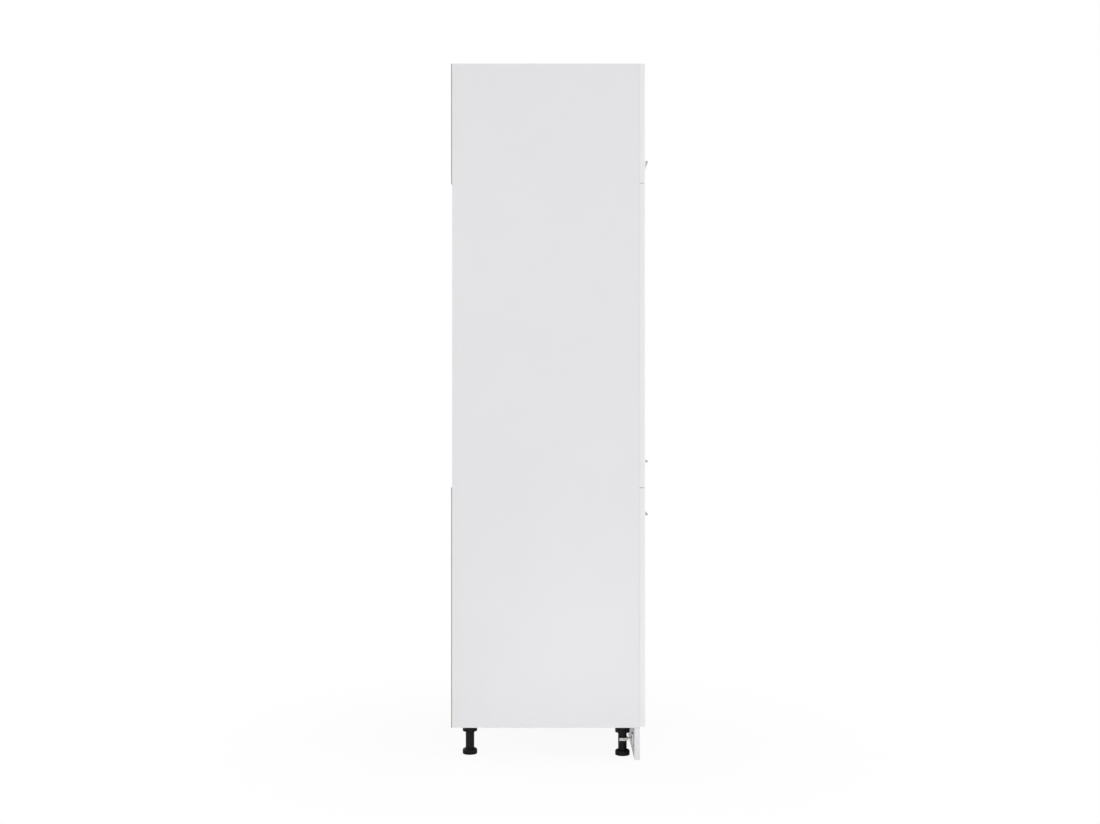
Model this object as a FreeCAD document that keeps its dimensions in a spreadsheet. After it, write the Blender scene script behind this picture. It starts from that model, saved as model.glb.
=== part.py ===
"""Tall three-door kitchen housing cabinet: a parametric FreeCAD document, in millimetres.

Frame: +Z up, the doors face -Y, +X is to the right of someone facing the doors.
The origin is on the floor, under the middle of the overall width and depth.
Each panel, fitting and group of like fasteners is one labelled object and one STEP file.
"""
import math
import os
import re
import FreeCAD
import Part
from FreeCAD import Placement, Rotation, Vector

# Driving dimensions, in millimetres, and shares of a length where the name says so
DIMENSIONS = {
    # carcass
    "cabinet_width": 600,
    "side_height": 1970,
    "side_depth": 557,
    "panel_thick": 16,
    "back_sheet": 3,
    "back_inset": 2,
    "floor_clear": 97,
    "shelf_setback": 25,
    "shelf_play": 1,
    "shelf_level": 345,
    # doors
    "door_thick": 16,
    "door_gap": 0.4,
    "door_seam": 1.6,
    "door_inset": 1.5,
    "door_foot_gap": 3,
    "door_edge_round": 2.5,
    "lower_door_share": 0.3606,
    "middle_door_share": 0.4593,
    # handles
    "handle_reach": 14,
    "handle_bar_deep": 5,
    "handle_bar_high": 6,
    "handle_bar_round": 1.2,
    "handle_length": 148,
    "handle_hole_spacing": 128,
    "handle_post_radius": 3.5,
    "handle_side_offset": 90,
    "lower_handle_drop": 85,
    "middle_handle_rise": 74,
    "upper_handle_rise": 80,
    "handle_screw_radius": 2,
    "handle_screw_bite": 7,
    "handle_screw_head_radius": 4,
    "handle_screw_head_thick": 2.4,
    # door buffers
    "buffer_radius": 4,
    "buffer_sink": 1.3,
    "buffer_corner_offset": 40,
    # concealed hinges, placed from the outer face of the side panel and the carcass front
    "hinge_end_offset": 90,
    "hinge_arm_pivot_in": 37.6,
    "hinge_arm_pivot_back": 3.4,
    "hinge_cup_pivot_in": 11.5,
    "hinge_cup_pivot_out": 6.15,
    "hinge_pin_radius": 1.3,
    "hinge_eye_radius": 2.5,
    "hinge_link_bow": 8,
    "hinge_link_thick": 2.6,
    "hinge_link_width": 10,
    "hinge_ear_gap": 0.4,
    "hinge_ear_thick": 1.6,
    "cup_centre_in": 24,
    "cup_radius": 17.5,
    "cup_wall": 1.2,
    "cup_deep": 12,
    "cup_floor": 1,
    "cup_flange_thick": 1,
    "cup_flange_in": 25,
    "cup_flange_wide": 17,
    "cup_flange_long": 62,
    "cup_screw_offset": 9.5,
    "cup_screw_spacing": 45,
    "arm_length": 66,
    "arm_neck_back": 13,
    "arm_base_in": 19.5,
    "arm_web_in": 30,
    "arm_web_thick": 1.5,
    "plate_set_back": 37,
    "plate_thick": 2.5,
    "plate_wing_high": 46,
    "plate_wing_deep": 14,
    "plate_front_back": 17,
    "plate_rear_back": 63,
    "plate_screw_spacing": 32,
    "arm_screw_front_back": 27,
    "arm_screw_rear_back": 52,
    "arm_screw_radius": 2,
    "arm_screw_head_radius": 3.8,
    "arm_screw_head_thick": 2,
    "arm_screw_long": 9,
    # wood screws shared by the hinge plates, cups, legs, brackets and plinth clips
    "wood_screw_radius": 1.75,
    "wood_screw_long": 11,
    "wood_screw_head_radius": 2.8,
    "wood_screw_head_thick": 1.6,
    # legs
    "leg_front_inset": 48,
    "leg_rear_inset": 48,
    "leg_front_side_inset": 70,
    "leg_rear_side_inset": 85,
    "socket_radius": 22,
    "socket_high": 28,
    "socket_wall": 1.5,
    "socket_top": 3,
    "sleeve_wall": 1.5,
    "socket_screw_circle": 17.5,
    "tube_radius": 13,
    "tube_wall": 3.6,
    "tube_insert": 25,
    "foot_radius": 22,
    "foot_high": 16,
    "foot_shoulder_round": 4,
    "foot_base_round": 1.5,
    "foot_stem_radius": 9,
    "foot_stem_long": 40,
    "foot_stop_gap": 0.3,
    # plinth
    "plinth_thick": 16,
    "plinth_end_inset": 1,
    "plinth_top_gap": 0.5,
    "plinth_floor_gap": 1,
    "clip_level": 49,
    "clip_high": 8,
    "clip_wall": 3.4,
    "clip_jaw_long": 10,
    "clip_arm_wide": 12,
    "clip_arm_high": 4,
    "clip_plate_wide": 34,
    "clip_plate_high": 32,
    "clip_plate_thick": 4,
    "clip_screw_spacing": 22,
    # panel joints
    "cam_radius": 7.5,
    "cam_deep": 12.4,
    "cam_from_end": 34,
    "cam_slot_share": 0.7,
    "cam_slot_wide": 2.5,
    "cam_slot_deep": 2,
    "cam_notch_deep": 2,
    "cam_bolt_grip": 1,
    "cam_edge_offset": 60,
    "bolt_radius": 3.5,
    "bolt_bite": 11,
    "dowel_radius": 4,
    "dowel_long": 30,
    "dowel_bite": 11,
    "dowel_pitch": 32,
    # adjustable shelf
    "pin_radius": 2.5,
    "pin_bite": 9,
    "pin_reach": 9,
    "pin_collar_radius": 4.5,
    "pin_collar_thick": 1.5,
    "pin_front_inset": 62,
    "pin_rear_inset": 62,
    "pin_pitch": 32,
    # wall brackets
    "bracket_wide": 30,
    "bracket_leg": 32,
    "bracket_drop": 44,
    "bracket_thick": 2.5,
    "bracket_side_offset": 70,
    "wall_hole_radius": 3.2,
    "wall_hole_drop": 27,
    "bracket_screw_share": 0.6,
    "bracket_screw_spacing": 16,
    # fits
    "running_clearance": 0.05,
    "easy_clearance": 0.3,
    "overrun": 1,
}
PIN_STEPS_COUNT = 3
HINGE_LEVEL_SHARES = {"lower": (0, 1), "middle": (0, 0.5, 1), "upper": (0, 1)}
LEG_SCREW_TURNS = ("0 deg", "90 deg", "180 deg", "270 deg")
EDGE_MATCH_SHARE = 1e-6

# Places and sizes worked out from the driving dimensions, as expressions
DERIVED = {
    "overall_depth": "back_sheet + side_depth + door_gap + door_thick + handle_reach",
    "back_face": "overall_depth/2",
    "carcass_rear": "back_face - back_sheet",
    "carcass_front": "carcass_rear - side_depth",
    "door_back": "carcass_front - door_gap",
    "door_front": "door_back - door_thick",
    "half_width": "cabinet_width/2",
    "inner_half": "half_width - panel_thick",
    "carcass_base": "floor_clear",
    "carcass_top": "floor_clear + side_height",
    "door_span": "side_height - door_foot_gap - 2*door_seam",
    "lower_door_height": "door_span*lower_door_share",
    "middle_door_height": "door_span*middle_door_share",
    "upper_door_height": "door_span - lower_door_height - middle_door_height",
    "lower_door_base": "carcass_base + door_foot_gap",
    "middle_door_base": "lower_door_base + lower_door_height + door_seam",
    "upper_door_base": "middle_door_base + middle_door_height + door_seam",
    "lower_seam": "middle_door_base - door_seam/2",
    "upper_seam": "upper_door_base - door_seam/2",
    "niche_floor_base": "lower_seam - panel_thick/2",
    "niche_ceiling_base": "upper_seam - panel_thick/2",
    "top_base": "carcass_top - panel_thick",
    "shelf_base": "carcass_base + panel_thick + shelf_level",
    "pin_level": "shelf_base - pin_radius",
    "bracket_screw_y": "carcass_rear - bracket_leg*bracket_screw_share",
    "wall_hole_level": "top_base - wall_hole_drop",
    "lower_handle_level": "lower_door_base + lower_door_height - lower_handle_drop",
    "middle_handle_level": "middle_door_base + middle_handle_rise",
    "upper_handle_level": "upper_door_base + upper_handle_rise",
    "handle_start": "-half_width + handle_side_offset",
    "handle_middle": "handle_start + handle_length/2",
    "handle_front": "door_front - handle_reach",
    "ear_inner": "hinge_link_width/2 + hinge_ear_gap",
    "ear_outer": "ear_inner + hinge_ear_thick",
    "socket_base": "floor_clear - socket_high",
    "tube_base": "foot_high + foot_stop_gap",
    "tube_long": "socket_base + tube_insert - tube_base",
    "front_leg_y": "carcass_front + leg_front_inset",
    "rear_leg_y": "carcass_rear - leg_rear_inset",
    "front_leg_x": "half_width - leg_front_side_inset",
    "rear_leg_x": "half_width - leg_rear_side_inset",
    "plinth_rear": "carcass_front + plinth_thick",
    "clip_face": "plinth_rear + clip_plate_thick",
    "clip_base": "clip_level - clip_high/2",
    "clip_inner": "tube_radius + easy_clearance",
    "clip_outer": "clip_inner + clip_wall",
    # bores, each a running clearance larger than what goes into it
    "bolt_bore": "bolt_radius + running_clearance",
    "bolt_bore_deep": "bolt_bite + running_clearance",
    "dowel_bore": "dowel_radius + running_clearance",
    "dowel_bore_deep": "dowel_bite + running_clearance",
    "dowel_end_bore_deep": "dowel_long - dowel_bite + running_clearance",
    "cam_bore": "cam_radius + running_clearance",
    "cam_bore_deep": "cam_deep + running_clearance",
    "pin_bore": "pin_radius + running_clearance",
    "screw_bore": "wood_screw_radius + running_clearance",
    "screw_bore_deep": "wood_screw_long + running_clearance",
    "arm_screw_bore": "arm_screw_radius + running_clearance",
    "handle_bore": "handle_screw_radius + running_clearance",
    "handle_bore_deep": "handle_screw_bite + overrun + running_clearance",
    "tube_bore": "tube_radius + running_clearance",
    "hinge_pin_bore": "hinge_pin_radius + running_clearance",
    "cup_bore": "cup_radius + running_clearance",
    "buffer_bore": "buffer_radius + running_clearance",
    "cup_bore_deep": "cup_deep + running_clearance",
}
AXIS_TURN = {
    "x": Rotation(Vector(0, 1, 0), 90),
    "-x": Rotation(Vector(0, 1, 0), -90),
    "y": Rotation(Vector(1, 0, 0), -90),
    "-y": Rotation(Vector(1, 0, 0), 90),
    "z": Rotation(),
    "-z": Rotation(Vector(1, 0, 0), 180),
}
# The sign of each side's place, and the axis and the sign of a step that point inwards from it
SIDE_SIGNS = {"left": "-", "right": ""}
INWARD_AXIS = {"-": "x", "": "-x"}
OUTWARD_AXIS = {"-": "-x", "": "x"}
INWARD_STEP = {"-": "+", "": "-"}
OUTWARD_STEP = {"-": "-", "": "+"}
FIXED_PANELS = {
    "bottom_panel": "carcass_base",
    "niche_floor": "niche_floor_base",
    "niche_ceiling": "niche_ceiling_base",
    "top_panel": "top_base",
}
LEGS = {
    "front_left": ("-(front_leg_x)", "front_leg_y"),
    "front_right": ("front_leg_x", "front_leg_y"),
    "rear_left": ("-(rear_leg_x)", "rear_leg_y"),
    "rear_right": ("rear_leg_x", "rear_leg_y"),
}
CLIP_LEGS = ("front_left", "front_right")

doc = FreeCAD.newDocument("TallHousingCabinet")
sheet = doc.addObject("Spreadsheet::Sheet", "Dims")
for row, (alias, number) in enumerate(DIMENSIONS.items(), start=1):
    sheet.set(f"A{row}", alias)
    sheet.set(f"B{row}", str(number))
    sheet.setAlias(f"B{row}", alias)
doc.recompute()

nodes = []


def expand(text):
    """Turn the short names in an expression into sheet references."""
    def one(match):
        word = match.group(0)
        if word in DIMENSIONS:
            return f"Dims.{word}"
        return f"({expand(DERIVED[word])})" if word in DERIVED else word
    return re.sub(r"[a-z_]{3,}", one, text)


def value(text):
    """The number that an expression stands for."""
    return float(sheet.evalExpression(expand(text)))


def bind(item, place, **sizes):
    """Bind an object's sizes and its place to the sheet."""
    for name, text in sizes.items():
        item.setExpression(name, expand(text))
    for letter, text in zip("xyz", place):
        item.setExpression(f"Placement.Base.{letter}", expand(text))
    return item


def box(place, long, deep, high):
    """A block from its lowest corner."""
    item = doc.addObject("Part::Box", "Block")
    return bind(item, place, Length=long, Width=deep, Height=high)


def rod(place, axis, radius, high):
    """A round bar from the centre of its first end along an axis."""
    item = doc.addObject("Part::Cylinder", "Rod")
    item.Placement = Placement(Vector(), AXIS_TURN[axis])
    return bind(item, place, Radius=radius, Height=high)


def rods(places, axis, radius, high):
    """Like round bars at several places."""
    return [rod(place, axis, radius, high) for place in places]


def fuse(*items):
    """One solid from several."""
    item = doc.addObject("Part::MultiFuse", "Joined")
    item.Shapes = list(items)
    item.Refine = True
    return item


def cut(base, *tools):
    """A solid less one or more tools."""
    item = doc.addObject("Part::Cut", "CutPiece")
    item.Base = base
    item.Tool = tools[0] if len(tools) == 1 else fuse(*tools)
    return item


def round_edges(base, radius, chosen):
    """Round the edges of a solid that a test picks."""
    doc.recompute()
    item = doc.addObject("Part::Fillet", "Rounded")
    item.Base = base
    size = value(radius)
    picked = [i for i, edge in enumerate(base.Shape.Edges, start=1) if chosen(edge)]
    item.Edges = [(i, size, size) for i in picked]
    return item


def lies_at(edge, letter, place):
    """True where an edge lies in the plane across an axis at a place."""
    ends = [getattr(edge.BoundBox, letter + end) for end in ("Min", "Max")]
    match = value("cabinet_width")*EDGE_MATCH_SHARE
    return all(math.isclose(end, value(place), abs_tol=match) for end in ends)


def node(label, item):
    """Name the object that is one sub-part."""
    item.Label = label
    nodes.append(item)
    return item


def group(label, items):
    """Name several like solids as one sub-part."""
    item = doc.addObject("Part::Compound", "Group")
    item.Links = list(items)
    return node(label, item)


def shape(label, solids):
    """Name solids made with Part's own functions as one sub-part."""
    item = doc.addObject("Part::Feature", "Shape")
    item.Shape = Part.makeCompound(solids)
    return node(label, item)


# Panel joints: a cam and its bolt, and a dowel beside it, at each end of each fixed panel
def joint_rows():
    """The depth places of the cams and dowels on a panel's end."""
    front = "carcass_front + cam_edge_offset"
    rear = "carcass_rear - cam_edge_offset"
    return [(front, f"{front} + dowel_pitch"), (rear, f"{rear} - dowel_pitch")]


def side_bores(sign):
    """Blind bores in a side panel for the bolts and dowels of every fixed panel."""
    face, out = f"{sign}(inner_half)", OUTWARD_AXIS[sign]
    tools = []
    for base in FIXED_PANELS.values():
        middle = f"{base} + panel_thick/2"
        for cam_y, dowel_y in joint_rows():
            tools.append(rod((face, cam_y, middle), out, "bolt_bore", "bolt_bore_deep"))
            tools.append(rod((face, dowel_y, middle), out, "dowel_bore", "dowel_bore_deep"))
    return tools


def shelf_pin_depths():
    """Depth places of the two columns of shelf pins."""
    return ["carcass_front + pin_front_inset", "carcass_rear - pin_rear_inset"]


def shelf_pin_bores(sign):
    """The short columns of bores that let the loose shelf change height."""
    steps = range(-PIN_STEPS_COUNT, PIN_STEPS_COUNT + 1)
    places = [
        (f"{sign}(inner_half)", depth, f"pin_level + ({step})*pin_pitch")
        for step in steps for depth in shelf_pin_depths()
    ]
    return rods(places, OUTWARD_AXIS[sign], "pin_bore", "pin_bite + overrun")


# Hinge levels
def hinge_levels(door):
    """Heights of a door's hinges, from its two ends inwards."""
    low = f"{door}_door_base + hinge_end_offset"
    span = f"({door}_door_height - 2*hinge_end_offset)"
    return [f"{low} + {share}*{span}" for share in HINGE_LEVEL_SHARES[door]]


def all_hinge_levels():
    """Heights of every hinge."""
    return [level for door in HINGE_LEVEL_SHARES for level in hinge_levels(door)]


# Carcass panels
def side_panels():
    """Two side panels, the right one bored for the hinge plates."""
    for name, sign in SIDE_SIGNS.items():
        start = "-half_width" if sign else "inner_half"
        body = box((start, "carcass_front", "carcass_base"), "panel_thick", "side_depth", "side_height")
        tools = side_bores(sign) + shelf_pin_bores(sign)
        if not sign:
            tools += [hole for level in all_hinge_levels() for hole in plate_screw_holes(level)]
        node(f"{name}_side_panel", cut(body, *tools))


def plate_screw_holes(level):
    """Pilot bores for one hinge plate in the side panel's inner face."""
    depth = "carcass_front + plate_set_back"
    places = [("inner_half", depth, f"{level} {way} plate_screw_spacing/2") for way in "+-"]
    return rods(places, "x", "screw_bore", "screw_bore_deep")


def fixed_panels():
    """Bottom, niche floor, niche ceiling and top, each with its end bores and cam pockets."""
    for name, base in FIXED_PANELS.items():
        start = ("-inner_half", "carcass_front", base)
        body = box(start, "2*(inner_half)", "side_depth", "panel_thick")
        tools = [bore for sign in SIDE_SIGNS.values() for bore in panel_end_bores(name, base, sign)]
        if name == "bottom_panel":
            tools += rods(leg_screw_places("carcass_base"), "z", "screw_bore", "screw_bore_deep")
        if name == "top_panel":
            tools += rods(bracket_screw_places("top_base"), "z", "screw_bore", "screw_bore_deep")
        node(name, cut(body, *tools))


def panel_end_bores(name, base, sign):
    """The bolt and dowel bores and the cam pockets at one end of a fixed panel."""
    face, axis = f"{sign}(inner_half)", INWARD_AXIS[sign]
    middle = f"{base} + panel_thick/2"
    tools = []
    for cam_y, dowel_y in joint_rows():
        tools.append(rod((face, cam_y, middle), axis, "bolt_bore", "cam_from_end"))
        tools.append(rod((face, dowel_y, middle), axis, "dowel_bore", "dowel_end_bore_deep"))
        tools.append(cam_drum(name, base, sign, cam_y, "cam_bore", "cam_bore_deep"))
    return tools


def cam_drum(name, base, sign, cam_y, radius, deep):
    """A cam's round form: let in from above in the bottom panel, from below in the others."""
    cam_x = f"{sign}(inner_half) {INWARD_STEP[sign]} cam_from_end"
    if name == "bottom_panel":
        return rod((cam_x, cam_y, f"{base} + panel_thick"), "-z", radius, deep)
    return rod((cam_x, cam_y, base), "z", radius, deep)


def panel_fasteners():
    """Cams, bolts and dowels of the fixed panels."""
    cams, bolts, dowels = [], [], []
    bolt_long = "bolt_bite + cam_from_end - cam_radius + cam_bolt_grip"
    for name, base in FIXED_PANELS.items():
        middle = f"{base} + panel_thick/2"
        for sign in SIDE_SIGNS.values():
            face, axis = f"{sign}(inner_half)", INWARD_AXIS[sign]
            for cam_y, dowel_y in joint_rows():
                bolt_start = (f"{face} {OUTWARD_STEP[sign]} bolt_bite", cam_y, middle)
                dowel_start = (f"{face} {OUTWARD_STEP[sign]} dowel_bite", dowel_y, middle)
                cams.append(cam(name, base, sign, cam_y))
                bolts.append(rod(bolt_start, axis, "bolt_radius", bolt_long))
                dowels.append(rod(dowel_start, axis, "dowel_radius", "dowel_long"))
    group("cam_locks", cams)
    group("cam_bolts", bolts)
    group("panel_dowels", dowels)


def cam(name, base, sign, cam_y):
    """One cam: a drum with a driver slot in its face and a notch that takes the bolt's end."""
    drum = cam_drum(name, base, sign, cam_y, "cam_radius", "cam_deep")
    cam_x = f"{sign}(inner_half) {INWARD_STEP[sign]} cam_from_end"
    up = name == "bottom_panel"
    slot_base = f"{base} + panel_thick - cam_slot_deep" if up else f"{base} - overrun"
    slot_start = (f"{cam_x} - cam_radius*cam_slot_share", f"{cam_y} - cam_slot_wide/2", slot_base)
    slot = box(slot_start, "2*cam_radius*cam_slot_share", "cam_slot_wide", "cam_slot_deep + overrun")
    notch_x = f"{cam_x} {OUTWARD_STEP[sign]} (cam_radius - cam_notch_deep)"
    notch_start = (notch_x, cam_y, f"{base} + panel_thick/2")
    notch = rod(notch_start, OUTWARD_AXIS[sign], "bolt_bore", "cam_notch_deep + overrun")
    return cut(drum, slot, notch)


def back_sheets():
    """Hardboard backs behind the lower and the upper cupboard, with the niche between left open."""
    start = "-half_width + back_inset"
    wide = "cabinet_width - 2*back_inset"
    lower_high = "lower_seam - carcass_base"
    upper_high = "carcass_top - upper_seam"
    node("lower_back_sheet", box((start, "carcass_rear", "carcass_base"), wide, "back_sheet", lower_high))
    upper = box((start, "carcass_rear", "upper_seam"), wide, "back_sheet", upper_high)
    places = [(x, "carcass_rear - overrun", "wall_hole_level") for x in bracket_places()]
    holes = rods(places, "y", "wall_hole_radius + easy_clearance", "back_sheet + 2*overrun")
    node("upper_back_sheet", cut(upper, *holes))


def loose_shelf():
    """The loose shelf of the lower cupboard and the four pins that it lies on."""
    start = ("-inner_half + shelf_play", "carcass_front + shelf_setback", "shelf_base")
    wide, deep = "2*(inner_half - shelf_play)", "side_depth - shelf_setback - shelf_play"
    node("loose_shelf", box(start, wide, deep, "panel_thick"))
    places = [(sign, depth) for sign in SIDE_SIGNS.values() for depth in shelf_pin_depths()]
    group("shelf_pins", [shelf_pin(sign, depth) for sign, depth in places])


def shelf_pin(sign, depth):
    """A peg with a collar against the side panel, flat on top where the shelf lies."""
    face, axis = f"{sign}(inner_half)", INWARD_AXIS[sign]
    peg_start = (f"{face} {OUTWARD_STEP[sign]} pin_bite", depth, "pin_level")
    peg = rod(peg_start, axis, "pin_radius", "pin_bite + pin_reach")
    collar = rod((face, depth, "pin_level"), axis, "pin_collar_radius", "pin_collar_thick")
    trim_start = (f"{face} - overrun - pin_reach", f"{depth} - pin_collar_radius", "shelf_base")
    trim = box(trim_start, "2*(overrun + pin_reach)", "2*pin_collar_radius", "2*pin_collar_radius")
    return cut(fuse(peg, collar), trim)


# Wall brackets
def bracket_places():
    """The two brackets' places along the width."""
    return ["-inner_half + bracket_side_offset", "inner_half - bracket_side_offset"]


def bracket_screw_places(level):
    """Places of the wood screws that hold the brackets under the top panel."""
    return [
        (f"{x} {way} bracket_screw_spacing/2", "bracket_screw_y", level)
        for x in bracket_places() for way in "+-"
    ]


def wall_brackets():
    """Angle brackets under the top panel, each with a hole for a wall screw."""
    screw_seat = "top_base - bracket_thick"
    hole_places = bracket_screw_places(f"{screw_seat} - overrun")
    holes = rods(hole_places, "z", "screw_bore", "bracket_thick + 2*overrun")
    brackets = []
    for place, x in enumerate(bracket_places()):
        start = f"{x} - bracket_wide/2"
        flat_start = (start, "carcass_rear - bracket_leg", screw_seat)
        drop_start = (start, "carcass_rear - bracket_thick", "top_base - bracket_drop")
        flat = box(flat_start, "bracket_wide", "bracket_leg", "bracket_thick")
        drop = box(drop_start, "bracket_wide", "bracket_thick", "bracket_drop")
        wall_start = (x, "carcass_rear - bracket_thick - overrun", "wall_hole_level")
        wall_hole = rod(wall_start, "y", "wall_hole_radius", "bracket_thick + 2*overrun")
        brackets.append(cut(fuse(flat, drop), wall_hole, *holes[2*place:2*place + 2]))
    group("wall_brackets", brackets)
    screws = [wood_screw(place, "z", "bracket_thick") for place in bracket_screw_places(screw_seat)]
    group("bracket_screws", screws)


def wood_screw(seat, axis, grip):
    """A wood screw: its head seats at a place, and its shank runs along an axis through what it grips."""
    letter = "xyz".index(axis[-1])
    back = list(seat)
    back[letter] += " + wood_screw_head_thick" if axis.startswith("-") else " - wood_screw_head_thick"
    head = rod(back, axis, "wood_screw_head_radius", "wood_screw_head_thick")
    return fuse(head, rod(seat, axis, "wood_screw_radius", f"{grip} + wood_screw_long"))


# Legs
def socket_screw_places(x, y, level):
    """Places of the four screws of one leg socket."""
    return [
        (f"{x} + socket_screw_circle*cos({turn})", f"{y} + socket_screw_circle*sin({turn})", level)
        for turn in LEG_SCREW_TURNS
    ]


def leg_screw_places(level):
    """Places of the screws of every leg socket."""
    return [place for x, y in LEGS.values() for place in socket_screw_places(x, y, level)]


def legs():
    """Sockets under the carcass, tubes in the sockets and a foot that screws into each tube."""
    group("leg_sockets", [leg_socket(x, y) for x, y in LEGS.values()])
    group("leg_tubes", [leg_tube(x, y) for x, y in LEGS.values()])
    seats = leg_screw_places("floor_clear - socket_top")
    group("leg_screws", [wood_screw(seat, "z", "socket_top") for seat in seats])
    for name, (x, y) in LEGS.items():
        node(f"foot_{name}", foot(x, y))
        node(f"foot_{name}_stem", rod((x, y, "foot_high"), "z", "foot_stem_radius", "foot_stem_long"))


def leg_socket(x, y):
    """A cap with a skirt, a sleeve for the tube and four screw holes."""
    below = (x, y, "socket_base - overrun")
    cap = rod((x, y, "socket_base"), "z", "socket_radius", "socket_high")
    hollow = rod(below, "z", "socket_radius - socket_wall", "socket_high - socket_top + overrun")
    sleeve = rod((x, y, "socket_base"), "z", "tube_bore + sleeve_wall", "socket_high")
    bore = rod(below, "z", "tube_bore", "tube_insert + overrun")
    holes = rods(socket_screw_places(x, y, "socket_base"), "z", "screw_bore", "socket_high + overrun")
    return cut(fuse(cut(cap, hollow), sleeve), bore, *holes)


def leg_tube(x, y):
    """The tube between the socket and the foot."""
    bar = rod((x, y, "tube_base"), "z", "tube_radius", "tube_long")
    bore = rod((x, y, "tube_base - overrun"), "z", "tube_radius - tube_wall", "tube_long + 2*overrun")
    return cut(bar, bore)


def foot(x, y):
    """A round-shouldered foot."""
    disc = rod((x, y, "0"), "z", "foot_radius", "foot_high")
    top = round_edges(disc, "foot_shoulder_round", lambda edge: lies_at(edge, "Z", "foot_high"))
    return round_edges(top, "foot_base_round", lambda edge: lies_at(edge, "Z", "0"))


# Plinth
def plinth():
    """The plinth board, and the fork clips on its back that push on to the front legs."""
    ends = [LEGS[name] for name in CLIP_LEGS]
    node("plinth_board", plinth_board([x for x, _ in ends]))
    plates, clips, screws = [], [], []
    for x, y in ends:
        start = (f"{x} - clip_plate_wide/2", "plinth_rear", "clip_level - clip_plate_high/2")
        plate = box(start, "clip_plate_wide", "clip_plate_thick", "clip_plate_high")
        places = clip_screw_places(x, "plinth_rear - overrun")
        plates.append(cut(plate, *rods(places, "y", "screw_bore", "clip_plate_thick + 2*overrun")))
        clips.append(fork_clip(x, y))
        screws += [wood_screw(seat, "-y", "clip_plate_thick") for seat in clip_screw_places(x, "clip_face")]
    group("plinth_clip_plates", plates)
    group("plinth_clips", clips)
    group("plinth_clip_screws", screws)


def clip_screw_places(x, depth):
    """Places of the two screws of a clip plate."""
    return [(f"{x} {way} clip_screw_spacing/2", depth, "clip_level") for way in "+-"]


def plinth_board(clip_places):
    """The board between floor and carcass, bored for the clip screws."""
    start = ("-half_width + plinth_end_inset", "carcass_front", "plinth_floor_gap")
    wide, high = "cabinet_width - 2*plinth_end_inset", "floor_clear - plinth_top_gap - plinth_floor_gap"
    board = box(start, wide, "plinth_thick", high)
    places = [place for x in clip_places for place in clip_screw_places(x, "plinth_rear")]
    return cut(board, *rods(places, "-y", "screw_bore", "screw_bore_deep"))


def fork_clip(x, y):
    """A fork that opens to the rear round a leg tube, on a flat arm from its plate."""
    below = "clip_base - overrun"
    tall = "clip_high + 2*overrun"
    ring = rod((x, y, "clip_base"), "z", "clip_outer", "clip_high")
    jaws = box((f"{x} - clip_outer", y, "clip_base"), "2*clip_outer", "clip_jaw_long", "clip_high")
    arm_start = (f"{x} - clip_arm_wide/2", "clip_face", "clip_level - clip_arm_high/2")
    arm = box(arm_start, "clip_arm_wide", f"{y} - clip_face - tube_radius", "clip_arm_high")
    hole = rod((x, y, below), "z", "clip_inner", tall)
    mouth = box((f"{x} - clip_inner", y, below), "2*clip_inner", "2*tube_radius", tall)
    rear_start = (f"{x} - 2*tube_radius", f"{y} + clip_jaw_long", below)
    rear_trim = box(rear_start, "4*tube_radius", "2*tube_radius", tall)
    return cut(fuse(ring, jaws, arm), hole, mouth, rear_trim)


# Hinges: worked out in the plane across the pin, in from the side's outer face, out from the carcass front
def hinge_point(inward, outward):
    """A point of the hinge plane in the part's own frame, at level zero."""
    return Vector(value("half_width") - inward, value("carcass_front") - outward, 0)


def slab(points, low, high):
    """A flat plate with a polygon outline between two levels."""
    face = Part.Face(Part.makePolygon([hinge_point(*point) for point in points + points[:1]]))
    return face.extrude(Vector(0, 0, high - low)).translated(Vector(0, 0, low))


def block(inward, outward, low, high):
    """A block between two inward and two outward places of the hinge plane."""
    (near, far), (rear, front) = inward, outward
    return slab([(near, rear), (far, rear), (far, front), (near, front)], low, high)


def pin_rod(centre, radius, low, high):
    """A round bar along the hinge pin's direction."""
    return Part.makeCylinder(radius, high - low, hinge_point(*centre) + Vector(0, 0, low))


def across_rod(start, radius, long):
    """A round bar that runs in from the side panel, square to it."""
    return Part.makeCylinder(radius, long, hinge_point(*start), Vector(-1, 0, 0))


def out_rod(start, radius, long):
    """A round bar that runs out towards the door's front."""
    return Part.makeCylinder(radius, long, hinge_point(*start), Vector(0, -1, 0))


def above_and_below(solid, spacing):
    """Two copies of a solid, half a spacing above and below it."""
    half = value(spacing)/2
    return [solid.translated(Vector(0, 0, way*half)) for way in (-1, 1)]


def arm_pivot():
    """Where the link turns on the arm."""
    return value("hinge_arm_pivot_in"), -value("hinge_arm_pivot_back")


def cup_pivot():
    """Where the link turns in the cup."""
    return value("hinge_cup_pivot_in"), value("hinge_cup_pivot_out")


def hinge_link():
    """A bowed link with an eye at each end."""
    half_width = value("hinge_link_width")/2
    bore = value("hinge_pin_bore")
    solid = bowed_band(half_width)
    for pivot in (cup_pivot(), arm_pivot()):
        solid = solid.fuse(pin_rod(pivot, value("hinge_eye_radius"), -half_width, half_width))
    for pivot in (cup_pivot(), arm_pivot()):
        solid = solid.cut(pin_rod(pivot, bore, -2*half_width, 2*half_width))
    return solid.removeSplitter()


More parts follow.
